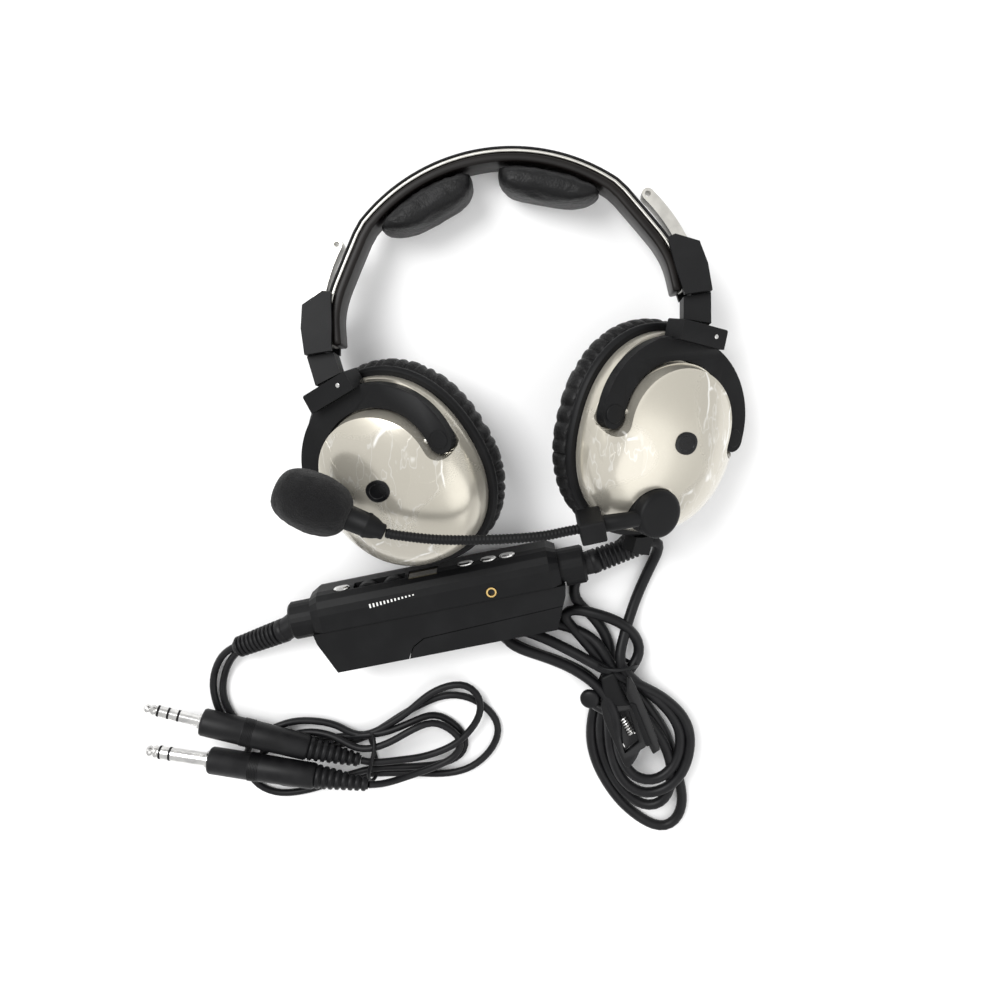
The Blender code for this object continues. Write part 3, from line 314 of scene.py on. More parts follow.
@dataclass(frozen=True)
class SatinShell:
    """Champagne-silver satin paint with a tight metallic fleck, part covered by a crumpled clear film, with painted
    highlights on the film's folds and painted shade on its facets.
    """

    name: str
    colour: Point = (0.58, 0.55, 0.475)
    # Darker tone of the paint: mixed in at random over the dome, and used as painted shade on some film facets.
    shade: Point = (0.42, 0.395, 0.33)
    # Near-white painted highlight for the film's fold ridges and streaks.
    crumple: Point = (0.86, 0.86, 0.84)
    metallic: float = 0.72
    roughness: float = 0.33
    film_mm: float = 0.5

    def make(self) -> bpy.types.Material:
        """Build the material.

        Returns:
            The finished material.
        """
        sheet = Sheet(self.name, Coat_Roughness=0.1)
        fleck = sheet.cells(5200.0, output="Color")
        shine = sheet.node("ShaderNodeSeparateColor", None, {"Color": fleck})
        tone = sheet.noise(26.0, 2.0)
        drift = sheet.node("ShaderNodeTexNoise", None, {"Vector": sheet.place(), "Scale": 34.0, "Detail": 2.0}, "Color")
        warped = sheet.node("ShaderNodeVectorMath", {"operation": "MULTIPLY_ADD"},
                            {0: drift, 1: (0.022, 0.022, 0.022), 2: sheet.place((1.0, 0.5, 1.0))})
        facets = sheet.node("ShaderNodeTexVoronoi", {"feature": "F1"},
                            {"Vector": warped, "Scale": 62.0, "Randomness": 1.0}, "Color")
        facet = sheet.node("ShaderNodeSeparateColor", None, {"Color": facets})
        folds = sheet.node("ShaderNodeTexVoronoi", {"feature": "DISTANCE_TO_EDGE"},
                           {"Vector": warped, "Scale": 62.0}, "Distance")
        fine = sheet.noise(85.0, 3.0, (1.0, 0.4, 1.0), 0.55)
        covered = sheet.noise(21.0, 1.0).within(0.44, 0.5)
        # Painted highlight masks for the ridges along the film's folds and for thin streaks; the ridges also lower the
        # metal, and both add bumps.
        ridge = (1 - folds.within(0.0, 0.045)) * fine.within(0.5, 0.62) * covered
        streak_highlight = (1 - abs(fine - 0.5).within(0.0, 0.012)) * covered
        light = sheet.blend(tone * 0.5 + shine * 0.15, self.colour, self.shade)
        # Painted shade: each facet of the film is darkened towards the darker tone by its own random amount.
        facet_shaded = sheet.node("ShaderNodeMix", {"data_type": "RGBA"},
                            {"Factor": facet * covered * 0.34, 6: light, 7: (*self.shade, 1.0)}, 2)
        # Painted highlight: the ridges and streaks are mixed towards near white in the colour.
        crumpled = sheet.node("ShaderNodeMix", {"data_type": "RGBA"},
                              {"Factor": ridge * 0.7 + streak_highlight * 0.3, 6: facet_shaded, 7: (*self.crumple, 1.0)}, 2)
        sheet.feed(Base_Color=crumpled, Roughness=self.roughness - 0.05 + shine * 0.08 - covered * 0.1,
                   Metallic=self.metallic - ridge * 0.3 - covered * 0.12, Coat_Weight=0.25 + covered * 0.6)
        sheet.relief(ridge * 0.3 + facet * covered * 0.5 + streak_highlight * 0.1 + shine * 0.01, self.film_mm, 0.4)
        return sheet.material


@dataclass(frozen=True)
class CordJacket:
    """Smooth black cord jacket, faintly mottled, with a dull sheen."""

    name: str
    colour: Point = (0.0036, 0.0036, 0.0043)
    light: Point = (0.007, 0.007, 0.0078)
    roughness: float = 0.44

    def make(self) -> bpy.types.Material:
        """Build the material.

        Returns:
            The finished material.
        """
        sheet = Sheet(self.name, Roughness=self.roughness, Specular_IOR_Level=0.22)
        tone = sheet.noise(120.0, 3.0)
        grain = sheet.noise(1800.0, 2.0)
        sheet.feed(Base_Color=sheet.blend(tone.within(0.35, 0.7), self.colour, self.light),
                   Roughness=self.roughness - 0.06 + tone * 0.14)
        sheet.relief(grain * 0.6 + tone * 0.4, 0.06)
        return sheet.material


@dataclass(frozen=True)
class OpenFoam:
    """Open-cell foam: paler cell walls, with the pores between them darkened as painted shade."""

    name: str
    # Pore colour: darker than the walls, as painted shade inside the foam's holes.
    colour: Point = (0.002, 0.002, 0.002)
    wall: Point = (0.007, 0.007, 0.0075)
    pores: float = 2100.0

    def make(self) -> bpy.types.Material:
        """Build the material.

        Returns:
            The finished material.
        """
        sheet = Sheet(self.name, Roughness=0.95, Specular_IOR_Level=0.2, Sheen_Weight=0.1)
        pores = sheet.cells(self.pores)
        rough = sheet.noise(420.0, 4.0)
        # The colour darkens towards each cell's middle as painted shade in the pores; the walls keep the foam's own
        # colour.
        sheet.feed(Base_Color=sheet.blend(pores.within(0.1, 0.75) * 0.8 + rough * 0.2, self.colour, self.wall))
        sheet.relief(pores * 0.7 + rough * 0.3, 0.4)
        return sheet.material


@dataclass(frozen=True)
class PlatedMetal:
    """Bright plating with fine turning marks and a slight haze."""

    name: str
    colour: Point = (0.66, 0.655, 0.64)
    haze: Point = (0.46, 0.455, 0.45)
    roughness: float = 0.2

    def make(self) -> bpy.types.Material:
        """Build the material.

        Returns:
            The finished material.
        """
        sheet = Sheet(self.name, Metallic=1.0)
        marks = sheet.noise(900.0, 3.0, (4.0, 1.0, 1.0))
        haze = sheet.noise(150.0, 3.0)
        sheet.feed(Base_Color=sheet.blend(haze.within(0.4, 0.75), self.colour, self.haze),
                   Roughness=self.roughness - 0.04 + haze * 0.12)
        sheet.relief(marks, 0.02)
        return sheet.material


@dataclass(frozen=True)
class GlossPlastic:
    """Polished plastic with a clear coat, light swirl marks and a few dull touches."""

    name: str
    colour: Point = (0.003, 0.003, 0.0034)
    dusty: Point = (0.007, 0.007, 0.0075)
    roughness: float = 0.24
    coat: float = 0.12

    def make(self) -> bpy.types.Material:
        """Build the material.

        Returns:
            The finished material.
        """
        sheet = Sheet(self.name, Coat_Weight=self.coat, Coat_Roughness=0.08, Specular_IOR_Level=0.24)
        touch = sheet.noise(90.0, 4.0)
        sheet.feed(Base_Color=sheet.blend(touch.within(0.5, 0.8), self.colour, self.dusty),
                   Roughness=self.roughness - 0.03 + touch * 0.14)
        sheet.relief(sheet.noise(300.0, 3.0), 0.03)
        return sheet.material


@dataclass(frozen=True)
class PaleBoard:
    """Plain pale studio floor."""

    name: str

    def make(self) -> bpy.types.Material:
        """Build the material.

        Returns:
            The finished material.
        """
        sheet = Sheet(self.name, Roughness=0.85, Specular_IOR_Level=0.1)
        tone = sheet.noise(3.0, 2.0)
        sheet.feed(Base_Color=sheet.blend(tone, (0.93, 0.93, 0.93), (0.95, 0.95, 0.95)))
        return sheet.material


class Finishes:
    """Every material of the object, made once."""

    def __init__(self) -> None:
        """Build the materials."""
        self.plastic = MouldedPlastic("matte_black").make()
        self.warm = MouldedPlastic("satin_black_inner", (0.0055, 0.0045, 0.0041), (0.01, 0.0082, 0.0073),
                                   0.38, 0.02).make()
        self.leather = PleatedLeather("black_leather").make()
        self.satin = SatinShell("champagne_satin").make()
        self.steel = PlatedMetal("brushed_spring", (0.5, 0.49, 0.455), (0.38, 0.37, 0.345), 0.34).make()
        self.metal = PlatedMetal("bright_plating").make()
        self.brass = PlatedMetal("gold_plating", (0.85, 0.6, 0.24), (0.6, 0.4, 0.15), 0.2).make()
        self.jacket = CordJacket("cord_jacket").make()
        self.moulding = CordJacket("plug_moulding", (0.0034, 0.0034, 0.004), (0.0075, 0.0075, 0.0082), 0.46).make()
        self.foam = OpenFoam("windscreen_foam").make()
        self.cloth = OpenFoam("liner_foam", (0.005, 0.005, 0.005), (0.02, 0.02, 0.02), 900.0).make()
        self.gloss = GlossPlastic("gloss_black").make()
        self.lens = GlossPlastic("smoked_lens", (0.034, 0.029, 0.017), (0.05, 0.043, 0.027), 0.06).make()
        self.board = GlossPlastic("board_green", (0.015, 0.12, 0.045), (0.03, 0.16, 0.07), 0.3).make()
        self.cell = GlossPlastic("cell_wrap", (0.03, 0.04, 0.09), (0.06, 0.07, 0.12), 0.25).make()
        self.pale = MouldedPlastic("pale_print", (0.7, 0.7, 0.68), (0.8, 0.8, 0.78), 0.5, 0.01).make()


# ---- mesh making ----------------------------------------------------------------------------------
def shift(x: float = 0.0, y: float = 0.0, z: float = 0.0) -> Matrix:
    """Translation from millimetres."""
    return Matrix.Translation(Vector((x, y, z)) * MM)


def turn(degrees: float, axis: str) -> Matrix:
    """Rotation about X, Y or Z."""
    return Matrix.Rotation(math.radians(degrees), 4, axis)


def along(start: Point, end: Point) -> Matrix:
    """Matrix whose z axis runs from start towards end, with its origin at start."""
    matrix = (Vector(end) - Vector(start)).normalized().to_track_quat("Z", "Y").to_matrix().to_4x4()
    matrix.translation = Vector(start) * MM
    return matrix


def smooth_route(route: Sequence[Point], step: float) -> list[Vector]:
    """Even points on a Catmull-Rom curve.

    Args:
        route: the given points.
        step: distance between the returned points.

    Returns:
        Points from the route's first to its last.
    """
    points = [Vector(point) for point in route]
    points = [2 * points[0] - points[1], *points, 2 * points[-1] - points[-2]]
    dense = []
    for a, b, c, d in zip(points, points[1:], points[2:], points[3:]):
        for index in range(16):
            t = index / 16
            dense.append(0.5 * (2 * b + (c - a) * t + (2 * a - 5 * b + 4 * c - d) * t * t
                                + (3 * b - 3 * c + d - a) * t ** 3))
    dense.append(points[-2])
    lengths = [0.0]
    for a, b in zip(dense, dense[1:]):
        lengths.append(lengths[-1] + (b - a).length)
    count = max(2, round(lengths[-1] / step))
    result, index = [], 0
    for number in range(count + 1):
        wanted = lengths[-1] * number / count
        while index < len(dense) - 2 and lengths[index + 1] < wanted:
            index += 1
        span = max(lengths[index + 1] - lengths[index], 1e-9)
        result.append(dense[index].lerp(dense[index + 1], (wanted - lengths[index]) / span))
    return result


def route_length(points: Sequence[Vector]) -> float:
    """Length along a list of points."""
    return sum((b - a).length for a, b in zip(points, points[1:]))


class Shape:
    """A mesh being made in millimetres."""

    def __init__(self, bm: bmesh.types.BMesh | None = None) -> None:
        """Start from a bmesh or from nothing."""
        self.bm = bm or bmesh.new()

    @classmethod
    def loft(cls, rings: Sequence[Sequence[Point]], closed: bool = False) -> "Shape":
        """Skin equal rings; a closed loft joins the last ring to the first."""
        shape = cls()
        shape.add_loft(rings, closed)
        return shape

    def add_loft(self, rings: Sequence[Sequence[Point]], closed: bool = False) -> None:
        """Add the skin of equal rings to the mesh.

        Args:
            rings: rings of points, all of the same count.
            closed: whether the last ring joins the first.
        """
        rows = [[self.bm.verts.new(point) for point in ring] for ring in rings]
        pairs = list(zip(rows, rows[1:]))
        if closed:
            pairs.append((rows[-1], rows[0]))
        count = len(rows[0])
        for low, high in pairs:
            for i in range(count):
                j = (i + 1) % count
                self.bm.faces.new((low[i], low[j], high[j], high[i]))
        if not closed:
            self.bm.faces.new(rows[0][::-1])
            self.bm.faces.new(rows[-1])

    @classmethod
    def revolve(cls, profile: Sequence[tuple[float, float]], count: int = 64, closed: bool = False) -> "Shape":
        """Turn (radius, z) points about z.

        Args:
            profile: the points.
            count: steps of a full turn.
            closed: whether the profile is a loop.

        Returns:
            The turned shape.
        """
        rings = []
        for radius, z in profile:
            angles = [2 * math.pi * step / count for step in range(count)]
            rings.append([(radius * math.cos(a), radius * math.sin(a), z) for a in angles])
        return cls.loft(rings, closed)

    @classmethod
    def prism(cls, outline: Sequence[Point], low: float, high: float, plane: str = "XY") -> "Shape":
        """Extrude an outline; plane XZ extrudes along y."""
        order = (lambda p, level: (p[0], level, p[1])) if plane == "XZ" else (lambda p, level: (p[0], p[1], level))
        return cls.loft([[order(p, low) for p in outline], [order(p, high) for p in outline]])

    @classmethod
    def box(cls, low: Point, high: Point) -> "Shape":
        """Box between two corners."""
        outline = [(low[0], low[1]), (high[0], low[1]), (high[0], high[1]), (low[0], high[1])]
        return cls.prism(outline, low[2], high[2])

    @classmethod
    def sweep(cls, points: Sequence[Vector], radius: Callable[[float], float], sides: int = 16) -> "Shape":
        """Round tube along points, whose radius depends on the distance along it.

        Args:
            points: centre line.
            radius: from distance in millimetres to radius.
            sides: points round the tube.

        Returns:
            The tube, with closed ends.
        """
        rings, distance, normal = [], 0.0, None
        for i, point in enumerate(points):
            heading = (points[min(i + 1, len(points) - 1)] - points[max(i - 1, 0)]).normalized()
            if normal is None:
                normal = heading.orthogonal().normalized()
            normal = (normal - heading * normal.dot(heading)).normalized()
            other = heading.cross(normal)
            if i:
                distance += (point - points[i - 1]).length
            size = radius(distance)
            angles = [2 * math.pi * k / sides for k in range(sides)]
            rings.append([point + (normal * math.cos(a) + other * math.sin(a)) * size for a in angles])
        return cls.loft(rings)

    def add(self, other: "Shape", matrix: Matrix | None = None) -> "Shape":
        """Add another shape, moved by a matrix whose translation is in metres; returns self.

        Args:
            other: the shape to add.
            matrix: its place, or nothing to leave it.

        Returns:
            This shape.
        """
        if matrix is not None:
            local = matrix.copy()
            local.translation = local.translation / MM
            other.bm.transform(local)
        mesh = bpy.data.meshes.new("joined")
        other.bm.to_mesh(mesh)
        other.bm.free()
        self.bm.from_mesh(mesh)
        bpy.data.meshes.remove(mesh)
        return self

    def piece(self, name: str, material: bpy.types.Material | None, matrix: Matrix | None = None,
              sharp: float = 38.0) -> bpy.types.Object:
        """Finish as an object with its place in its mesh.

        Args:
            name: the object's name.
            material: its finish.
            matrix: where it goes, in metres.
            sharp: edges above this angle stay sharp.

        Returns:
            The object.
        """
        bmesh.ops.recalc_face_normals(self.bm, faces=self.bm.faces)
        bmesh.ops.scale(self.bm, vec=Vector((MM, MM, MM)), verts=self.bm.verts)
        if matrix is not None:
            self.bm.transform(matrix)
        mesh = bpy.data.meshes.new(name)
        self.bm.to_mesh(mesh)
        self.bm.free()
        made = bpy.data.objects.new(name, mesh)
        bpy.context.scene.collection.objects.link(made)
        mesh.shade_smooth()
        mesh.set_sharp_from_angle(angle=math.radians(sharp))
        if material:
            mesh.materials.append(material)
        return made


def modify(piece: bpy.types.Object, kind: str, **settings: Any) -> None:
    """Add a modifier and apply it at once.

    Args:
        piece: the object.
        kind: the modifier's type.
        settings: its settings.
    """
    modifier = piece.modifiers.new(kind.lower(), kind)
    for key, value in settings.items():
        setattr(modifier, key, value)
    bpy.context.view_layer.update()
    evaluated = piece.evaluated_get(bpy.context.evaluated_depsgraph_get())
    mesh = bpy.data.meshes.new_from_object(evaluated)
    materials = list(piece.data.materials)
    piece.modifiers.clear()
    piece.data = mesh
    mesh.materials.clear()
    for material in materials:
        mesh.materials.append(material)


def carve(piece: bpy.types.Object, cutter: Shape, matrix: Matrix | None = None, operation: str = "DIFFERENCE") -> None:
    """Cut or join a shape to a piece and apply it."""
    tool = cutter.piece("tool", None, matrix)
    modify(piece, "BOOLEAN", operation=operation, object=tool, solver="EXACT")
    bpy.data.objects.remove(tool)


def round_edges(piece: bpy.types.Object, width: float, segments: int = 3, angle: float = 32.0) -> None:
    """Round a piece's sharp edges and keep its shading clean."""
    modify(piece, "BEVEL", width=width * MM, segments=segments, limit_method="ANGLE",
           angle_limit=math.radians(angle), use_clamp_overlap=True, harden_normals=False)
    piece.data.shade_smooth()
    piece.data.set_sharp_from_angle(angle=math.radians(50))


def settle(piece: bpy.types.Object, body: str, slot: Slot, *replaced: str) -> bpy.types.Object:
    """Fix a piece to its body, hide the nodes it stands for, and report it.

    Args:
        piece: the mesh or curve.
        body: the body that carries it.
        slot: not used.
        replaced: nodes that it stands for.

    Returns:
        The piece.
    """
    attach(piece, body)
    if replaced:
        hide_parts(*replaced)
    LOG.info("%s rides on %s", piece.name, body)
    return piece


def dress(material: bpy.types.Material, *nodes: str) -> None:
    """Give carried-over nodes a finish."""
    for name in nodes:
        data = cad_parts[name].data
        data.materials.clear()
        data.materials.append(material)


def plump(piece: bpy.types.Object, voxel: float, pressure: float, cap: float) -> None:
    """Inflate a closed form as cloth, capped, and apply it.

    Args:
        piece: the form, a little smaller than the pad.
        voxel: remesh size.
        pressure: cloth pressure.
        cap: the furthest a point may move.
    """
    modify(piece, "REMESH", mode="VOXEL", voxel_size=voxel * MM, use_smooth_shade=True)
    start = [vertex.co.copy() for vertex in piece.data.vertices]
    cloth = piece.modifiers.new("cloth", "CLOTH")
    cloth.settings.use_pressure = True
    cloth.settings.uniform_pressure_force = pressure
    cloth.settings.effector_weights.gravity = 0.0
    cloth.settings.tension_stiffness = 12.0
    cloth.settings.compression_stiffness = 12.0
    cloth.settings.shrink_min = -0.04
    cloth.point_cache.frame_end = 20
    scene = bpy.context.scene
    for number in range(1, 21):
        scene.frame_set(number)
    evaluated = piece.evaluated_get(bpy.context.evaluated_depsgraph_get())
    moved = [vertex.co.copy() for vertex in evaluated.data.vertices]
    piece.modifiers.clear()
    scene.frame_set(1)
    for vertex, old, new in zip(piece.data.vertices, start, moved):
        travel = new - old
        limit = cap * MM
        vertex.co = old + travel * min(1.0, limit / max(travel.length, 1e-9))


# ---- placing --------------------------------------------------------------------------------------
@dataclass(frozen=True)
class Lie:
    """How the headset lies: the same places and turns as its solids."""

    footprint: Point = (3.49, 39.05)
    position: Point = (11.5, 29.4, 42.95)
    heading: float = 9.0
    tilt: float = 14.6
    lean: float = 18.0
    swivel_point: Point = (73.3, 45.3)
    yoke_drop: float = 40.6
    yoke_cant: float = 4.0
    cup_drop: float = 7.0
    cup_inset: float = 8.0
    left_pose: Point = (56.9, 4.0)
    right_pose: Point = (65.6, 8.0)

    def headset(self) -> Matrix:
        """Frame of the upright headband, as it lies."""
        return (shift(self.position[0] - self.footprint[0], self.position[1] - self.footprint[1], self.position[2])
                @ turn(self.heading, "Z") @ turn(-90 - self.tilt, "X"))

    def yoke(self, side: Side) -> Matrix:
        """Frame of a yoke: y up from the cup's pivots, z outward.

        Args:
            side: the wearer's side.

        Returns:
            The frame.
        """
        sign = side.value
        lean = math.radians(self.lean)
        up = Vector((sign * math.sin(lean), 0.0, math.cos(lean)))
        out = Vector((sign * math.cos(lean), 0.0, -math.sin(lean)))
        rest = Matrix((up.cross(out), up, out)).transposed().to_4x4()
        swivel = (self.left_pose if side is Side.LEFT else self.right_pose)[0]
        at = shift(sign * self.swivel_point[0], 0.0, self.swivel_point[1])
        return (self.headset() @ at @ rest @ turn(-sign * swivel, "Y")
                @ shift(0.0, -self.yoke_drop) @ turn(self.yoke_cant, "X"))

    def pivots(self, side: Side) -> Matrix:
        """Frame of a cup's two pivots, tilted with the cup."""
        return self.yoke(side) @ turn((self.left_pose if side is Side.LEFT else self.right_pose)[1], "X")

    def cup(self, side: Side) -> Matrix:
        """Frame of a cup about the middle of its rim."""
        return self.pivots(side) @ shift(0.0, -self.cup_drop, -self.cup_inset)

    def module(self) -> Matrix:
        """Frame of the control module: x along it, y across it, z up."""
        return shift(-94.8 - self.footprint[0], -53.7 - self.footprint[1]) @ turn(11.9, "Z")


# ---- studio ---------------------------------------------------------------------------------------
@dataclass
class Studio:
    """Camera, floor and soft light."""

    lens_mm: float = 39.6
    camera_m: Point = (-0.00349, 0.09875, 0.4806)
    camera_tilt: float = -16.0
    floor_m: float = 30.0
    room_strength: float = 0.85

    def camera(self) -> None:
        """Set the camera above the headband, leaning towards the plugs."""
        data = bpy.data.cameras.new("camera")
        data.lens = self.lens_mm
        data.sensor_width = 36.0
        data.clip_start = 0.01
        data.clip_end = 100.0
        camera = bpy.data.objects.new("camera", data)
        camera.location = self.camera_m
        camera.rotation_euler = (math.radians(self.camera_tilt), 0.0, 0.0)
        bpy.context.scene.collection.objects.link(camera)
        bpy.context.scene.camera = camera

    def floor(self) -> None:
        """Lay the pale floor."""
        half = self.floor_m / 2 / MM
        shape = Shape()
        corners = ((-half, -half), (half, -half), (half, half), (-half, half))
        shape.bm.faces.new([shape.bm.verts.new((x, y, 0.0)) for x, y in corners])
        shape.piece("floor", PaleBoard("floor_paint").make())

    def light(self, name: str, place: Point, size: float, power: float) -> None:
        """Hang one area light aimed at the object.

        Args:
            name: the light's name.
            place: position in metres.
            size: side in metres.
            power: watts.
        """
        data = bpy.data.lights.new(name, "AREA")
        data.energy = power
        data.size = size
        lamp = bpy.data.objects.new(name, data)
        lamp.location = place
        lamp.rotation_euler = (Vector((0.0, 0.0, 0.0)) - Vector(place)).to_track_quat("-Z", "Y").to_euler()
        bpy.context.scene.collection.objects.link(lamp)

    def build(self) -> None:
        """Make the whole studio."""
        self.camera()
        self.floor()
        self.light("key_light", (-0.7, 0.75, 1.25), 0.8, 22.0)
        self.light("fill_light", (0.9, -0.6, 1.3), 1.4, 7.0)
        world = bpy.data.worlds.new("soft_room")
        world.use_nodes = True
        background = world.node_tree.nodes["Background"]
        background.inputs["Color"].default_value = (1.0, 1.0, 1.0, 1.0)
        background.inputs["Strength"].default_value = self.room_strength
        bpy.context.scene.world = world
        bpy.context.scene.view_settings.view_transform = "Standard"


# ---- cords ----------------------------------------------------------------------------------------
def cord_curve(name: str, route: Sequence[Point], diameter: float, material: bpy.types.Material) -> tuple:
    """Make one open cord.

    Args:
        name: the object's name.
        route: points that it follows.
        diameter: its thickness.
        material: its finish.

    Returns:
        The object and its length in metres.
    """
    points = smooth_route(route, 3.0)
    for _ in range(2):
        points = [points[0]] + [(a + 2 * b + c) / 4 for a, b, c in zip(points, points[1:], points[2:])] + [points[-1]]
    curve = bpy.data.curves.new(name, "CURVE")
    curve.dimensions = "3D"
    curve.bevel_depth = diameter / 2 * MM
    curve.bevel_resolution = 5
    curve.use_fill_caps = True
    spline = curve.splines.new("POLY")
    spline.points.add(len(points) - 1)
    for target, point in zip(spline.points, points):
        low = max(point.z, diameter / 2 + 0.05)
        target.co = (point.x * MM, point.y * MM, low * MM, 1.0)
    spline.use_smooth = True
    curve.materials.append(material)
    made = bpy.data.objects.new(name, curve)
    bpy.context.scene.collection.objects.link(made)
    return made, route_length(points) * MM


@dataclass
class MainCord:
    """Cord from the left cup to the control module, gathered in loops and a coil."""

    diameter: float = 5.0

    def route(self) -> list[Point]:
        """Points from the cup's gland, through each loop, to the module's relief.

        Returns:
            The route.
        """
        lead_in = [(57.4, -49.9, 27.5), (57.2, -50.8, 20.5), (56.7, -51.8, 13.5), (55.8, -53.3, 8.0),
                   (54.0, -55.8, 4.2), (51.0, -60.0, 2.7), (46.5, -64.6, 2.6), (41.5, -67.9, 2.6),
                   (36.8, -70.4, 2.6), (32.8, -74.0, 2.6), (30.7, -79.2, 2.6), (30.8, -85.0, 2.6),
                   (34.4, -89.8, 2.6), (40.4, -95.4, 2.8), (46.5, -104.9, 3.5), (48.4, -114.4, 5.0)]
        turn_1 = [(46.5, -123.0, 5.0), (43.1, -134.6, 4.0), (40.6, -147.9, 2.8), (40.7, -160.4, 2.8),
                  (45.1, -174.8, 2.8), (55.3, -191.2, 2.8), (68.0, -202.6, 2.8), (77.9, -205.8, 2.8),
                  (84.2, -200.0, 2.8), (85.7, -189.4, 2.8), (82.4, -174.8, 2.8), (76.4, -155.6, 4.0),
                  (67.5, -139.8, 8.0), (58.0, -127.0, 9.0)]
        loop_a = [(47.4, -118.6, 9.0), (36.9, -106.9, 6.0), (29.6, -98.7, 4.0), (25.6, -93.6, 4.0),
                  (30.1, -90.2, 5.0), (41.3, -91.6, 7.6), (51.8, -95.4, 8.5), (59.6, -103.4, 6.0),
                  (61.8, -111.5, 6.0), (57.6, -118.7, 8.0)]
        turn_2 = [(50.5, -128.0, 9.0), (45.8, -138.6, 8.0), (44.4, -150.3, 6.0), (46.1, -163.9, 4.0),
                  (51.9, -178.3, 4.4), (60.9, -188.4, 6.0), (69.5, -191.2, 8.0), (77.0, -186.0, 8.4),
                  (79.0, -172.4, 8.4), (75.0, -158.1, 9.0), (66.3, -143.8, 10.0), (55.5, -130.0, 11.0)]
        loop_b = [(46.2, -112.7, 10.0), (40.2, -104.8, 6.5), (26.1, -99.1, 2.8), (9.0, -97.6, 2.8),
                  (-1.2, -98.6, 2.8), (-4.4, -102.0, 2.8), (1.2, -107.4, 2.8), (12.2, -112.8, 2.8),
                  (26.4, -118.1, 2.8), (39.0, -124.8, 4.0)]
        turn_3 = [(44.0, -131.0, 8.0), (47.4, -139.3, 12.0), (48.2, -150.0, 10.0), (50.4, -164.4, 9.4),
                  (56.1, -177.0, 9.4), (65.8, -183.0, 10.0), (76.9, -179.7, 10.4), (84.5, -169.8, 10.4),
                  (87.0, -155.6, 9.0), (83.3, -143.3, 9.4), (73.3, -132.7, 10.5), (61.4, -125.0, 12.5)]
        loop_c = [(51.0, -120.0, 12.5), (42.4, -115.6, 12.5), (27.5, -108.6, 8.4), (13.6, -102.4, 6.6),
                  (3.0, -100.0, 5.0), (-2.3, -102.7, 6.4), (4.8, -108.0, 8.4), (18.2, -113.0, 8.4),
                  (30.8, -118.8, 8.4), (41.7, -125.6, 12.0)]
        turn_4 = [(48.0, -133.0, 14.5), (50.9, -141.8, 14.0), (51.8, -152.4, 13.0), (54.6, -164.2, 12.0),
                  (61.6, -173.6, 11.5), (71.9, -174.6, 11.5), (80.2, -166.9, 10.0), (82.4, -153.7, 9.0),
                  (78.0, -142.3, 10.0), (70.1, -132.9, 11.0), (60.0, -124.0, 12.0)]
        lead_out = [(52.0, -114.0, 12.0), (54.6, -100.5, 7.0), (59.8, -84.8, 3.0), (65.5, -70.1, 3.0),
                    (68.4, -62.5, 4.4), (68.6, -57.5, 6.6), (66.0, -55.0, 8.7), (61.5, -56.4, 9.4)]
        return lead_in + turn_1 + loop_a + turn_2 + loop_b + turn_3 + loop_c + turn_4 + lead_out

    def build(self, looks: Finishes, on_it: Sequence[bpy.types.Object]) -> None:
        """Args:
            looks: the finishes.
            on_it: not used.
        """
        route = self.route()
        cord, length = cord_curve("main_cord", route, self.diameter, looks.jacket)
        settle(cord, "headband", Slot.RUBBER, "main_cord_coil", "main_cord_cup_lead", "main_cord_module_lead")
        [value * MM for value in route[0]]
        LOG.info("main cord is %.3f m long", length)


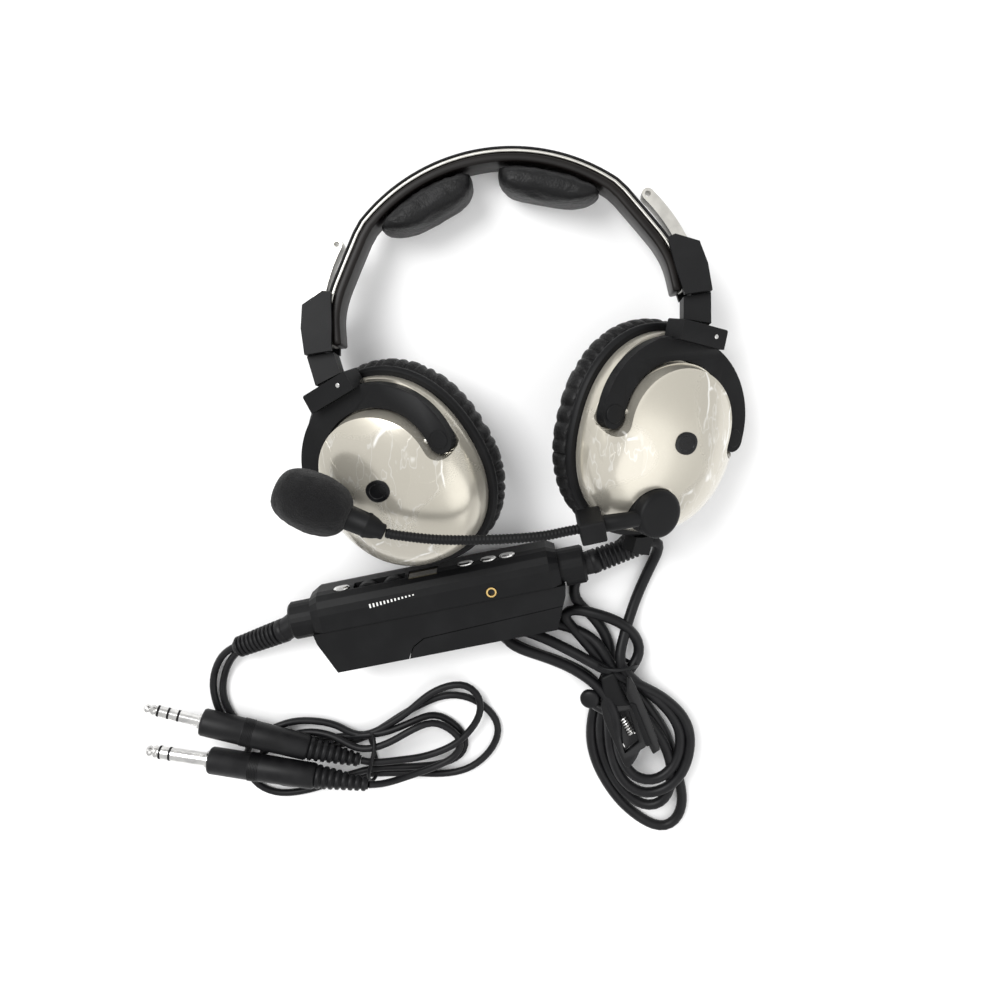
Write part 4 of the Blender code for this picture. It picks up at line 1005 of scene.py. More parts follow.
@dataclass
class TwinCords:
    """The two plug cords, folded together into a tied hank."""

    diameter: float = 3.4

    def outer(self) -> list[Point]:
        """Cord of the upper plug.

        Returns:
            The route.
        """
        return [(-124.9, -106.8, 8.0), (-128.9, -109.0, 7.0), (-134.5, -114.5, 4.6), (-138.8, -123.5, 2.4),
                (-140.0, -132.0, 2.2),
                (-138.0, -143.0, 2.2), (-132.5, -154.0, 2.2), (-120.0, -162.6, 2.2), (-101.0, -164.5, 2.2),
                (-82.0, -161.5, 2.4), (-65.3, -155.2, 3.0), (-46.6, -143.0, 2.2), (-28.9, -135.1, 2.2),
                (-14.6, -138.1, 2.2), (-4.8, -149.2, 2.2), (-6.4, -161.6, 2.2), (-16.5, -172.8, 2.2),
                (-29.5, -176.9, 2.2), (-45.7, -176.6, 2.2), (-58.0, -176.6, 2.4), (-68.3, -177.0, 2.6),
                (-81.5, -180.7, 2.2), (-98.1, -186.1, 2.2), (-111.3, -187.6, 2.2), (-120.8, -183.8, 2.2),
                (-125.3, -176.9, 2.2), (-126.3, -167.9, 2.8), (-121.8, -157.1, 6.0), (-110.8, -150.0, 6.2),
                (-99.4, -147.4, 4.4), (-83.5, -149.2, 4.2), (-69.6, -154.5, 6.0), (-51.2, -145.2, 6.0),
                (-35.1, -132.0, 5.0), (-20.8, -128.2, 5.0), (-13.0, -135.1, 6.2), (-14.3, -146.3, 6.2),
                (-24.3, -158.0, 7.0), (-38.8, -164.2, 8.0), (-51.5, -165.5, 9.6), (-60.0, -166.0, 10.8),
                (-66.0, -165.7, 11.3), (-69.7, -164.75, 11.4)]

    def inner(self) -> list[Point]:
        """Cord of the lower plug.

        Returns:
            The route.
        """
        return [(-124.4, -109.2, 7.9), (-127.6, -112.4, 6.4), (-131.6, -118.3, 3.6), (-134.6, -126.5, 2.2),
                (-135.6, -134.0, 2.2),
                (-133.4, -143.0, 2.2), (-127.5, -151.5, 2.2), (-116.0, -158.0, 2.2), (-100.0, -159.8, 2.2),
                (-84.0, -157.0, 3.0), (-69.1, -154.0, 6.6), (-58.2, -152.5, 6.6), (-46.6, -147.8, 6.2),
                (-35.3, -144.6, 3.4), (-25.5, -150.2, 2.4), (-20.0, -158.8, 2.2), (-22.5, -166.9, 2.2),
                (-32.4, -171.2, 3.0), (-45.4, -171.6, 5.0), (-58.5, -172.0, 5.0), (-67.5, -172.4, 6.4),
                (-78.7, -176.3, 6.0), (-94.6, -181.5, 3.4), (-107.7, -182.3, 2.2), (-117.2, -178.4, 2.2),
                (-120.7, -171.5, 2.2), (-117.3, -163.5, 6.4), (-107.9, -156.4, 6.4), (-96.4, -152.8, 5.4),
                (-83.5, -153.8, 7.4), (-70.1, -159.2, 10.6), (-57.6, -156.5, 10.6), (-44.7, -149.1, 10.0),
                (-35.1, -146.7, 7.4), (-26.5, -151.4, 6.6), (-21.8, -157.9, 6.4), (-25.0, -165.0, 6.6),
                (-33.9, -170.0, 7.5), (-46.7, -173.4, 10.5), (-54.0, -174.2, 14.0), (-60.0, -173.6, 18.0),
                (-65.2, -172.9, 19.6)]

    def build(self, looks: Finishes, plugs: dict[str, list[bpy.types.Object]]) -> None:
        """Make both cords and fix them to the headband's body.

        Args:
            looks: the finishes.
            plugs: not used.
        """
        for name, route, plug, nodes in (
                ("twin_cord_outer", self.outer(), "upper", ("twin_cord_outer_lead", "twin_cord_hank")),
                ("twin_cord_inner", self.inner(), "lower", ("twin_cord_inner_lead",))):
            cord, length = cord_curve(name, route, self.diameter, looks.jacket)
            settle(cord, "headband", Slot.RUBBER, *nodes)
            LOG.info("%s is %.3f m long", name, length)
        self.tie(looks)

    def tie(self, looks: Finishes) -> None:
        """Thin band round the middle of the hank.

        Args:
            looks: the finishes.
        """
        points = []
        for step in range(41):
            angle = 2 * math.pi * step / 40
            points.append(Vector((-64.6 + 1.6 * math.sin(angle * 2), -165.0 + 12.2 * math.cos(angle),
                                  7.6 + 6.4 * math.sin(angle))))
        band = Shape.sweep(points, lambda _: 0.9, 10).piece("hank_tie", looks.moulding)
        settle(band, "headband", Slot.RUBBER)


# ---- plugs, reliefs and clip ----------------------------------------------------------------------
def ribs(start_radius: float, end_radius: float, length: float, count: int, start: float) -> list:
    """Tapered profile of round-shouldered ribs, as (radius, z) points.

    Args:
        start_radius: radius of the first rib.
        end_radius: radius at the last rib.
        length: length of the ribbed part.
        count: number of ribs.
        start: z of the first rib.

    Returns:
        The profile's points.
    """
    points = []
    pitch = length / count
    for rib in range(count):
        z = start + rib * pitch
        size = start_radius + (end_radius - start_radius) * (rib + 0.5) / count
        points += [(size - 0.85, z), (size - 0.2, z + pitch * 0.08), (size, z + pitch * 0.2),
                   (size, z + pitch * 0.52), (size - 0.2, z + pitch * 0.64), (size - 0.85, z + pitch * 0.72)]
    return points + [(end_radius - 0.9, start + length)]


@dataclass
class Plugs:
    """The two moulded plugs with their contacts."""

    radius: float = 6.5
    body: float = 52.0
    tail: float = 25.0

    def build(self, looks: Finishes) -> dict[str, list[bpy.types.Object]]:
        """Make both plugs.

        Args:
            looks: the finishes.

        Returns:
            Each plug's pieces, by its name.
        """
        places = {"upper": ((-144.09, -144.25, 11.4), (-93.89, -158.05, 11.4), 2.6, 27.5, 3),
                  "lower": ((-141.59, -164.25, 11.8), (-90.69, -169.95, 17.0), 3.17, 31.0, 2)}
        made = {}
        for name, (start, end, contact, length, rings) in places.items():
            matrix = along(start, end)
            r = self.radius
            profile = [(r - 1.6, 0.0), (r - 0.5, 0.35), (r, 1.3), (r, 19.6)]
            for groove in range(7):
                z = 19.8 + groove * 0.75
                profile += [(r + 0.3, z), (r + 0.3, z + 0.4), (r - 0.05, z + 0.5), (r - 0.05, z + 0.65)]
            profile += [(r, 25.3), (r - 0.3, self.body - 1.4), (r - 0.8, self.body - 0.6)]
            profile += ribs(r - 0.6, 3.2, self.tail, 8, self.body)
            shell = Shape.revolve(profile, 48).piece(f"plug_moulding_{name}", looks.moulding, matrix, 60)
            settle(shell, "headband", Slot.RUBBER, f"plug_body_{name}")
            pin = self.contact(name, looks, start, end, contact, length, rings)
            made[name] = [shell, *pin]
        return made

    def contact(self, name: str, looks: Finishes, start: Point, end: Point, radius: float, length: float,
                rings: int) -> list[bpy.types.Object]:
        """Make a plated contact with its insulating rings.

        Args:
            name: the plug's name.
            looks: the finishes.
            start: where the moulding begins, at the contact.
            end: where the moulding ends, at its tail.
            radius: the contact's radius.
            length: the contact's length.
            rings: number of insulating rings.

        Returns:
            The contact and its rings.
        """
        back = Vector(start) - (Vector(end) - Vector(start)).normalized() * 0.3
        matrix = along(back, 2 * back - Vector(end))
        r = radius
        profile = [(r + 1.0, 0.0), (r + 1.0, 0.8), (r + 0.8, 1.0), (r, 1.0), (r, length - 6.6),
                   (r - 0.55, length - 6.1), (r - 0.1, length - 5.2), (r - 0.1, length - 4.6),
                   (r - 1.0, length - 3.2), (r - 0.45, length - 2.2), (r - 0.6, length - 1.4),
                   (r - 1.4, length - 0.5), (0.4, length)]
        pin = Shape.revolve(profile, 40).piece(f"plug_pin_{name}", looks.metal, matrix, 30)
        settle(pin, "headband", Slot.METAL, f"plug_contact_{name}")
        bands = Shape()
        for ring in range(rings):
            z = length - 8.0 - ring * 4.8
            band = Shape.revolve([(r - 0.2, z), (r + 0.12, z + 0.1), (r + 0.12, z + 1.1), (r - 0.2, z + 1.2)], 40)
            bands.add(band)
        rings_piece = bands.piece(f"plug_rings_{name}", looks.plastic, matrix)
        settle(rings_piece, "headband", Slot.PLASTIC)
        return [pin, rings_piece]


@dataclass
class Reliefs:
    """Ribbed strain reliefs at the control module's two ends."""

    def build(self, looks: Finishes) -> dict[str, bpy.types.Object]:
        """Make both reliefs.

        Args:
            looks: the finishes.

        Returns:
            The reliefs, under "left" and "right".
        """
        places = {"left": ((-101.09, -96.85, 13.0), (-127.09, -108.85, 7.6)),
                  "right": ((36.91, -64.65, 12.8), (61.71, -56.25, 9.4))}
        stubs = {"left": (-95.35, -92.13, 13.0), "right": (31.85, -65.33, 13.0)}
        made = {}
        for name, (start, end) in places.items():
            profile = [(4.8, 0.0), (5.6, 0.5), (5.6, 3.4), (5.0, 4.0)] + ribs(5.6, 4.9, 22.5, 10, 4.6)
            profile += [(3.5, 27.6), (3.2, 28.2)]
            heading = (Vector(end) - Vector(start)).normalized()
            neck = smooth_route([stubs[name], Vector(stubs[name]).lerp(Vector(start), 0.6),
                                 Vector(start) + heading * 0.8, Vector(start) + heading * 3.0], 0.8)
            shape = Shape.sweep(neck, lambda _: 5.3, 40)
            piece = shape.add(Shape.revolve(profile, 40), along(start, end)).piece(f"relief_{name}", looks.moulding,
                                                                                  None, 60)
            made[name] = settle(piece, "headband", Slot.RUBBER, f"module_relief_{name}")
        return made


@dataclass
class Clip:
    """Glossy clothing clip on the coil, with its knob, spring, sprung strip and tie."""

    level: float = 12.5

    def build(self, looks: Finishes) -> list[bpy.types.Object]:
        """Make the clip over the coil.

        Args:
            looks: the finishes.

        Returns:
            Its pieces that lie on the cord.
        """
        z = self.level
        outline = [(44.6, -129.6), (50.0, -133.0), (57.6, -132.4), (61.4, -137.4), (65.4, -153.6), (62.6, -157.4),
                   (60.4, -162.6), (57.6, -166.2), (55.4, -165.4), (51.0, -155.6), (45.6, -142.8), (43.4, -134.0)]
        smooth = [(p.x, p.y) for p in smooth_route([(*p, 0.0) for p in [*outline, outline[0]]], 1.2)][:-1]
        base = Shape.prism(smooth, z - 1.4, z + 3.0).piece("clip_base_plate", looks.gloss)
        window = [(49.6, -137.6), (56.6, -136.6), (61.8, -153.0), (55.4, -159.0)]
        carve(base, Shape.prism(window, z + 0.4, z + 9.0))
        round_edges(base, 0.8)
        settle(base, "headband", Slot.GLOSS, "clip_base")
        ridge = Shape.prism([(43.0, -120.0), (49.0, -117.0), (55.0, -131.0), (58.4, -134.0), (50.0, -134.6),
                             (45.0, -131.0)], z - 1.0, z + 3.6).piece("clip_saddle", looks.plastic)
        round_edges(ridge, 1.2)
        settle(ridge, "headband", Slot.PLASTIC)
        spring = Shape()
        start, end = Vector((53.7, -140.8, z + 2.0)), Vector((58.4, -149.4, z + 2.0))
        heading = (end - start).normalized()
        across = Vector((-heading.y, heading.x, 0.0))
        coils = []
        for step in range(7 * 16 + 1):
            angle = 2 * math.pi * step / 16
            coils.append(start.lerp(end, step / (7 * 16)) + across * (1.5 * math.cos(angle))
                         + Vector((0.0, 0.0, 1.2 * math.sin(angle))))
        spring.add(Shape.sweep(coils, lambda _: 0.34, 8))
        spring.add(Shape.sweep([Vector((51.4, -149.0, z + 0.8)), Vector((55.3, -156.6, z + 0.8))], lambda _: 0.4, 8))
        comb = spring.piece("clip_spring", looks.metal)
        settle(comb, "headband", Slot.METAL)
        strip = Shape.prism([(54.2, -117.4), (56.2, -117.6), (58.4, -121.6), (64.2, -134.6), (69.2, -147.6),
                             (71.2, -154.4), (68.0, -156.8), (66.6, -154.2), (61.0, -140.0), (54.6, -127.4)],
                            z + 6.0, z + 7.8)
        jaw = strip.piece("clip_jaw_plate", looks.gloss)
        round_edges(jaw, 0.6)
        settle(jaw, "clip_jaw", Slot.GLOSS, "clip_jaw")
        rail = Shape.prism([(56.0, -130.0), (59.0, -130.6), (67.2, -151.6), (64.4, -152.6)], z + 4.4, z + 8.6)
        spine = rail.piece("clip_jaw_rib", looks.plastic)
        round_edges(spine, 0.8)
        settle(spine, "clip_jaw", Slot.PLASTIC)
        knob = Shape.revolve([(1.6, -5.0), (1.6, -1.6), (4.0, -1.4), (4.5, -0.8), (4.6, 0.2), (4.3, 1.2), (3.4, 1.8),
                              (0.3, 2.0)], 56)
        button = knob.piece("clip_knob", looks.moulding, shift(38.4, -131.8, z + 0.4) @ turn(-14.0, "Y"), 60)
        settle(button, "headband", Slot.PLASTIC)
        neck = Shape.sweep([Vector((38.4, -132.4, z - 3.6)), Vector((41.6, -136.2, z - 1.0)),
                            Vector((46.0, -138.2, z + 0.4))], lambda _: 2.2, 14)
        settle(neck.piece("clip_stem", looks.gloss), "headband", Slot.GLOSS)
        ring = []
        for step in range(49):
            angle = 2 * math.pi * step / 48
            ring.append(Vector((50.4 + 9.4 * math.cos(angle), -114.8 + 2.4 * math.cos(angle) * math.sin(angle)
                                - 1.6 * math.cos(angle), 9.6 + 8.6 * math.sin(angle))))
        band = Shape.sweep(ring, lambda _: 0.9, 10).piece("coil_tie", looks.moulding)
        settle(band, "headband", Slot.RUBBER)
        return [base, jaw, comb, button, band]


# ---- headband -------------------------------------------------------------------------------------
@dataclass
class Headband:
    """Layered band, its head pads and the fittings at its ends."""

    lie: Lie
    radius: float = 78.0
    centre_z: float = 48.3
    half_angle: float = 42.5
    cover: float = 1.0
    trim: float = 1.3
    core: float = 3.5
    gap: float = 0.3
    width: float = 16.0
    pad_thick: float = 14.0
    pad_width: float = 27.0

    def path(self) -> list[tuple[float, float]]:
        """Outer edge of the band, from the right housing over the top to the left one.

        Returns:
            Its points.
        """
        leg = [(56.0, 101.6), (59.6, 95.8), (64.4, 88.0), (69.4, 79.2), (72.6, 70.0), (73.9, 58.0)]
        half = []
        for step in range(41):
            angle = math.radians(self.half_angle) * step / 40
            half.append((self.radius * math.sin(angle), self.centre_z + self.radius * math.cos(angle)))
        half += [tuple(point.xy) for point in smooth_route([(x, z, 0.0) for x, z in leg], 2.0)]
        return [(-x, z) for x, z in half[:0:-1]] + half

    def strip(self, outer: float, inner: float, width: float) -> Shape:
        """A layer of the band between two depths.

        Args:
            outer: depth of its outer face.
            inner: depth of its inner face.
            width: its width.

        Returns:
            The layer.
        """
        path = self.path()
        rows = []
        for depth in (outer, inner):
            row = []
            for i, point in enumerate(path):
                before, after = Vector(path[max(i - 1, 0)]), Vector(path[min(i + 1, len(path) - 1)])
                heading = (after - before).normalized()
                row.append((point[0] + heading.y * depth, point[1] - heading.x * depth))
            rows.append(row)
        half = width / 2
        rings = [[(a[0], -half, a[1]), (a[0], half, a[1]), (b[0], half, b[1]), (b[0], -half, b[1])]
                 for a, b in zip(*rows)]
        return Shape.loft(rings)

    def build(self, looks: Finishes) -> None:
        """Make the band and pads, and dress the fittings.

        Args:
            looks: the finishes.
        """
        matrix = self.lie.headset()
        start = self.cover + self.trim + 2 * self.gap
        layers = (("band_cover", 0.0, self.cover, self.width - 2.0, looks.plastic, Slot.PLASTIC, "headband_cover"),
                  ("band_spring", self.cover + self.gap, start - self.gap, self.width - 0.8, looks.steel, Slot.SATIN,
                   "headband_spring"),
                  ("band_core", start, start + self.core, self.width, looks.warm, Slot.PLASTIC, "headband_core"))
        for name, outer, inner, width, material, slot, node in layers:
            piece = self.strip(outer, inner, width).piece(name, material, matrix)
            round_edges(piece, min(0.9, (inner - outer) * 0.35), 2)
            settle(piece, "headband", slot, node)
        for side in Side:
            self.pad(looks, side, matrix)
        dress(looks.plastic, "slider_housing_left", "slider_housing_right", "swivel_arm_left", "swivel_arm_right")
        dress(looks.steel, "slider_left", "slider_right")

    def pad(self, looks: Finishes, side: Side, matrix: Matrix) -> None:
        """Make one stuffed head pad, drawn in along its seams.

        Args:
            looks: the finishes.
            side: the wearer's side.
            matrix: the headband's frame.
        """
        shrink = 1.3
        top = self.radius - (self.cover + self.trim + self.core + 2 * self.gap) - self.gap - shrink
        rings = []
        for step in range(33):
            share = 0.5 - 0.5 * math.cos(math.pi * step / 32)
            angle = math.radians(5.2 + 34.6 * share)
            ends = (1 - abs(2 * share - 1) ** 8 * 0.995) ** 0.34
            swell = (self.pad_thick - 2 * shrink) * (1 - abs(2 * share - 0.86) ** 3.2 / 2.1) * (0.4 + 0.6 * ends)
            ring = []
            for corner in range(24):
                turned = 2 * math.pi * corner / 24
                c, sn = math.cos(turned), math.sin(turned)
                across = math.copysign(abs(c) ** 0.55, c)
                depth = 0.5 - 0.5 * math.copysign(abs(sn) ** 0.7, sn)
                radius = top - swell * depth
                half = (self.pad_width / 2 - shrink) * ends
                ring.append((side.value * radius * math.sin(angle), across * half,
                             self.centre_z + radius * math.cos(angle)))
            rings.append(ring)
        pad = Shape.loft(rings).piece(f"head_cushion_{side.word}", looks.leather, matrix)
        plump(pad, 1.5, 6.0, 2.6)
        axis = matrix.to_3x3() @ Vector((0.0, 1.0, 0.0))
        centre = matrix @ (Vector((0.0, 0.0, self.centre_z)) * MM)
        for vertex in pad.data.vertices:
            radial = vertex.co - centre
            radial -= axis * radial.dot(axis)
            near_band = max(0.0, 1.0 - abs(radial.length / MM - top) / 5.0)
            crease = noise.noise(vertex.co * 260.0) * 0.5 + noise.noise(vertex.co * 620.0) * 0.3
            vertex.co += radial.normalized() * crease * MM * (0.35 + 0.9 * near_band)
        modify(pad, "SUBSURF", levels=1, render_levels=1)
        pad.data.shade_smooth()
        settle(pad, "headband", Slot.LEATHER, f"head_pad_{side.word}")


# ---- ear cups -------------------------------------------------------------------------------------
@dataclass
class EarCup:
    """One ear cup with its yoke: satin dome, base plate, pleated seal and driver cover."""

    lie: Lie
    side: Side
    rim: Point = (37.0, 42.0)
    power: float = 2.2
    lip: float = 3.0
    plate_growth: float = 3.2
    plate_thick: float = 3.4
    seal_growth: float = 3.9
    seal_depth: float = 13.0
    seal_opening: Point = (25.5, 30.5)
    yoke_half: Point = (36.4, 34.6)
    yoke_arm: float = 10.0
    yoke_thick: float = 5.0
    end_drop: float = 3.0
    smooth: int = 128

    @property
    def body(self) -> str:
        """The cup's body."""
        return f"cup_{self.side.word}"

    @property
    def tilt_out(self) -> float:
        """The furthest outward tilt of the cup in its yoke."""
        return 5.5 if self.side is Side.LEFT else 8.5

    @property
    def tilt_in(self) -> float:
        """The furthest inward tilt of the cup in its yoke."""
        return 13.4 if self.side is Side.LEFT else 4.5

    def oval(self, half_x: float, half_y: float, z: float, centre: Point = (0.0, 0.0)) -> list[Point]:
        """Points of a superellipse in a plane.

        Args:
            half_x: half its width.
            half_y: half its height.
            z: height of the plane.
            centre: its middle.

        Returns:
            Its points.
        """
        points = []
        for step in range(self.smooth):
            angle = 2 * math.pi * step / self.smooth
            c, s = math.cos(angle), math.sin(angle)
            points.append((math.copysign(abs(c) ** (2 / self.power), c) * half_x + centre[0],
                           math.copysign(abs(s) ** (2 / self.power), s) * half_y + centre[1], z))
        return points

    def yoke_outline(self, growth: float = 0.0) -> list[Point]:
        """C-shaped outline, open downwards, with round ends.

        Args:
            growth: how far it stands out all round.

        Returns:
            Its points.
        """
        outer = [half + growth for half in self.yoke_half]
        inner = [half - self.yoke_arm - growth for half in self.yoke_half]
        steps = 48
        angles = [math.pi * i / steps for i in range(steps + 1)]
        points = [(outer[0] * math.cos(a), outer[1] * math.sin(a)) for a in angles]
        radius, middle = (outer[0] - inner[0]) / 2, (outer[0] + inner[0]) / 2
        ends = {}
        for sign in (-1, 1):
            ends[sign] = [(sign * middle - radius * math.cos(math.radians(15 * i)),
                           -self.end_drop - radius * math.sin(math.radians(15 * i))) for i in range(13)]
        points += ends[-1]
        points += [(inner[0] * math.cos(a), inner[1] * math.sin(a)) for a in angles[::-1]]
        return points + ends[1]

    def shell(self, looks: Finishes) -> None:
        """Dome with its crisp recess for the yoke.

        Args:
            looks: the finishes.
        """
        profile = smooth_route([(1.0, -2.7, 0), (1.0, 0.5, 0), (0.985, 3.0, 0), (0.955, 6.5, 0), (0.88, 10.8, 0),
                                (0.73, 14.6, 0), (0.5, 17.6, 0), (0.26, 19.2, 0), (0.02, 19.7, 0)], 0.03)
        shares = [profile[0]]
        for point in profile:
            if abs(point.y - shares[-1].y) > 0.8 or abs(point.x - shares[-1].x) > 0.04:
                shares.append(point)
        rings = [self.oval(self.rim[0] * max(p.x, 0.02), self.rim[1] * max(p.x, 0.02), p.y) for p in shares]
        matrix = self.lie.cup(self.side)
        dome = Shape.loft(rings).piece(f"dome_{self.side.word}", looks.satin, matrix)
        to_pivots = matrix @ shift(0.0, self.lie.cup_drop, self.lie.cup_inset)
        inward = to_pivots @ turn(-self.tilt_out, "X")
        carve(dome, Shape.prism(self.yoke_outline(1.0), -self.yoke_thick / 2 - 0.3, 60.0), inward)
        outward = to_pivots @ turn(self.tilt_in, "X")
        carve(dome, Shape.prism(self.yoke_outline(1.06), -self.yoke_thick / 2 - 0.3, 40.0), outward)
        top = self.lie.yoke_drop
        carve(dome, Shape.box((-12.3, top - 9.2, -self.yoke_thick / 2 - 0.9), (12.3, 60.0, 60.0)), inward)
        middle = self.yoke_half[0] - self.yoke_arm / 2
        for sign in (-1, 1):
            end = Shape.revolve([(5.9, -self.yoke_thick / 2 - 1.2), (5.9, 50.0)], 48)
            carve(dome, end, to_pivots @ shift(sign * middle, -self.end_drop))
        if self.side is Side.LEFT:
            carve(dome, Shape.revolve([(10.3, 10.7), (10.3, 40.0)], 64), matrix @ shift(-4.0, -30.0))
        round_edges(dome, 0.5, 2, 28)
        settle(dome, self.body, Slot.SATIN, f"cup_shell_{self.side.word}")
        badge = Shape.loft([self.oval(5.4, 4.6, 18.6), self.oval(5.4, 4.6, 19.85), self.oval(5.1, 4.3, 20.0),
                            self.oval(3.9, 3.1, 20.0), self.oval(3.7, 2.9, 19.8), self.oval(0.1, 0.1, 19.85)])
        settle(badge.piece(f"badge_{self.side.word}", looks.gloss, matrix), self.body, Slot.GLOSS)

    def plate(self, looks: Finishes) -> None:
        """Base plate with a rounded flange, and the driver's cloth cover.

        Args:
            looks: the finishes.
        """
        grown = [side + self.plate_growth for side in self.rim]
        top = -self.lip
        low = top - self.plate_thick
        levels = [(-1.0, low), (-0.2, low + 0.3), (0.0, low + 0.9), (0.0, top - 1.6), (-0.4, top - 0.7), (-1.2, top)]
        matrix = self.lie.cup(self.side)
        plate = Shape.loft([self.oval(grown[0] + d, grown[1] + d, z) for d, z in levels]).piece(
            f"flange_{self.side.word}", looks.plastic, matrix)
        carve(plate, Shape.revolve([(18.9, low - 5.0), (18.9, top + 5.0)], 64), matrix)
        settle(plate, self.body, Slot.PLASTIC, f"base_plate_{self.side.word}")
        cover = [(24.6, low - 0.4), (24.4, low - 1.2), (23.0, low - 1.9), (12.0, low - 2.3), (0.1, low - 2.4)]
        rings = [self.oval(r, r * 1.2, z) for r, z in cover]
        liner = Shape.loft([self.oval(24.6, 29.5, low - 0.3)] + rings).piece(f"liner_{self.side.word}", looks.cloth,
                                                                            matrix)
        settle(liner, self.body, Slot.FOAM)
        dress(looks.plastic, f"driver_{self.side.word}")
        dress(looks.metal, f"pivot_pin_{self.side.word}_front", f"pivot_pin_{self.side.word}_rear")

    def seal(self, looks: Finishes) -> None:
        """Leather seal, gathered in pleats where it meets the plate and softly crowned.

        Args:
            looks: the finishes.
        """
        low = -self.lip - self.plate_thick - 0.3
        wide = [side + self.seal_growth for side in self.rim]
        deep = self.seal_depth
        section = [(0.0, -2.6, 0.0, 0.5), (0.0, -1.0, -0.06 * deep, 1.0), (0.0, -0.3, -0.2 * deep, 1.15),
                   (0.0, 0.1, -0.42 * deep, 1.0), (0.0, -0.7, -0.7 * deep, 0.8), (0.0, -3.2, -0.91 * deep, 0.5),
                   (0.0, -7.5, -deep, 0.2), (1.0, 3.5, -0.95 * deep, 0.15), (1.0, 0.3, -0.75 * deep, 0.4),
                   (1.0, -0.6, -0.45 * deep, 0.6), (1.0, -0.6, -0.2 * deep, 0.7), (1.0, 0.2, -0.01 * deep, 0.3)]
        dice = random.Random(11 + self.side.value)
        pleats = []
        place = 0.0
        while place < 2 * math.pi:
            pleats.append((place, dice.uniform(0.016, 0.026), dice.uniform(0.7, 1.35), dice.uniform(-0.04, 0.04)))
            place += dice.uniform(0.085, 0.15)
        points = self.seal_points(section)
        count = 420
        rings = []
        for point in points:
            inner = point.x > 50
            offset = point.x - 100 if inner else point.x
            half = ([side + offset for side in self.seal_opening] if inner else [side + offset for side in wide])
            rings.append(self.gathered(half, low + point.y, point.z, pleats, -1.0 if inner else 1.0, count))
        matrix = self.lie.cup(self.side)
        seal = Shape.loft(rings, closed=True).piece(f"seal_cushion_{self.side.word}", looks.leather, matrix, 80)
        modify(seal, "SMOOTH", factor=0.5, iterations=1)
        seal.data.shade_smooth()
        settle(seal, self.body, Slot.LEATHER, f"ear_seal_{self.side.word}")

    @staticmethod
    def seal_points(section: Sequence[tuple]) -> list[Vector]:
        """Smooth the outer and inner halves of the section one by one, 100 marking the inner half.

        Args:
            section: (half, offset, height, pleat weight) points.

        Returns:
            Points of the whole section, each (offset, height, weight).
        """
        points = []
        for half in (0.0, 1.0):
            part = [(half * 100 + offset, z, weight) for which, offset, z, weight in section if which == half]
            points += smooth_route(part, 0.9)
        return points

    def gathered(self, half: Point, z: float, weight: float, pleats: Iterable[tuple], outward: float,
                 count: int) -> list[Point]:
        """One ring of the seal, pulled in at each pleat and swelling between them.

        Args:
            half: half width and half height.
            z: height of the ring.
            weight: how strongly the pleats draw it in.
            pleats: each pleat's place and spread in radians, its depth, and how it leans.
            outward: 1 on the outer skin and -1 on the inner one.
            count: points in the ring.

        Returns:
            Its points.
        """
        ring = []
        for step in range(count):
            angle = 2 * math.pi * step / count
            pull = 0.0
            for place, spread, depth, lean in pleats:
                away = (angle - place - lean * (z + 8.0) / 10.0 + math.pi) % (2 * math.pi) - math.pi
                if abs(away) < 4 * spread:
                    pull += depth * math.exp(-(away / spread) ** 2)
            pull *= weight * outward
            c, s = math.cos(angle), math.sin(angle)
            ring.append((math.copysign(abs(c) ** (2 / self.power), c) * (half[0] - pull),
                         math.copysign(abs(s) ** (2 / self.power), s) * (half[1] - pull), z))
        return ring

    def yoke(self, looks: Finishes) -> None:
        """Round-edged yoke with its swivel block, pivot caps and small plated mark.

        Args:
            looks: the finishes.
        """
        matrix = self.lie.yoke(self.side)
        half = self.yoke_thick / 2
        yoke = Shape.prism(self.yoke_outline(), -half, half).piece(f"fork_{self.side.word}", looks.plastic, matrix)
        top = self.lie.yoke_drop - 0.7
        block = [(-11.5, top - 8.0), (11.5, top - 8.0), (11.5, top - 0.6), (10.9, top), (-10.9, top),
                 (-11.5, top - 0.6)]
        carve(yoke, Shape.prism(block, -half, 8.0), matrix, "UNION")
        neck = [(-11.5, 31.0), (11.5, 31.0), (11.5, top - 4.0), (-11.5, top - 4.0)]
        carve(yoke, Shape.prism(neck, -half + 0.02, half - 0.02), matrix, "UNION")
        hole = Shape.revolve([(3.35, -4.8), (3.35, 6.0)], 32)
        carve(yoke, hole, matrix @ shift(0.0, 0.0) @ turn(-self.lie.yoke_cant, "X") @ shift(0.0, self.lie.yoke_drop)
              @ turn(-90, "X"))
        round_edges(yoke, 0.8, 3)
        settle(yoke, f"yoke_{self.side.word}", Slot.PLASTIC, f"yoke_{self.side.word}")
        middle = self.yoke_half[0] - self.yoke_arm / 2
        caps = Shape()
        for sign in (-1, 1):
            cap = Shape.revolve([(3.9, half - 0.2), (3.9, half + 0.25), (3.6, half + 0.5), (0.3, half + 0.6)], 40)
            caps.add(cap, shift(sign * middle, -self.end_drop + 1.0))
        settle(caps.piece(f"fork_caps_{self.side.word}", looks.plastic, matrix), f"yoke_{self.side.word}", Slot.PLASTIC)
        mark = Shape.revolve([(0.9, 0.0), (0.9, 0.35), (0.6, 0.45), (0.1, 0.45)], 24)
        place = matrix @ shift(6.0, top - 3.6, 7.9)
        settle(mark.piece(f"fork_mark_{self.side.word}", looks.metal, place), f"yoke_{self.side.word}", Slot.METAL)

    def build(self, looks: Finishes) -> None:
        """Make the whole cup."""
        self.shell(looks)
        self.plate(looks)
        self.seal(looks)
        self.yoke(looks)


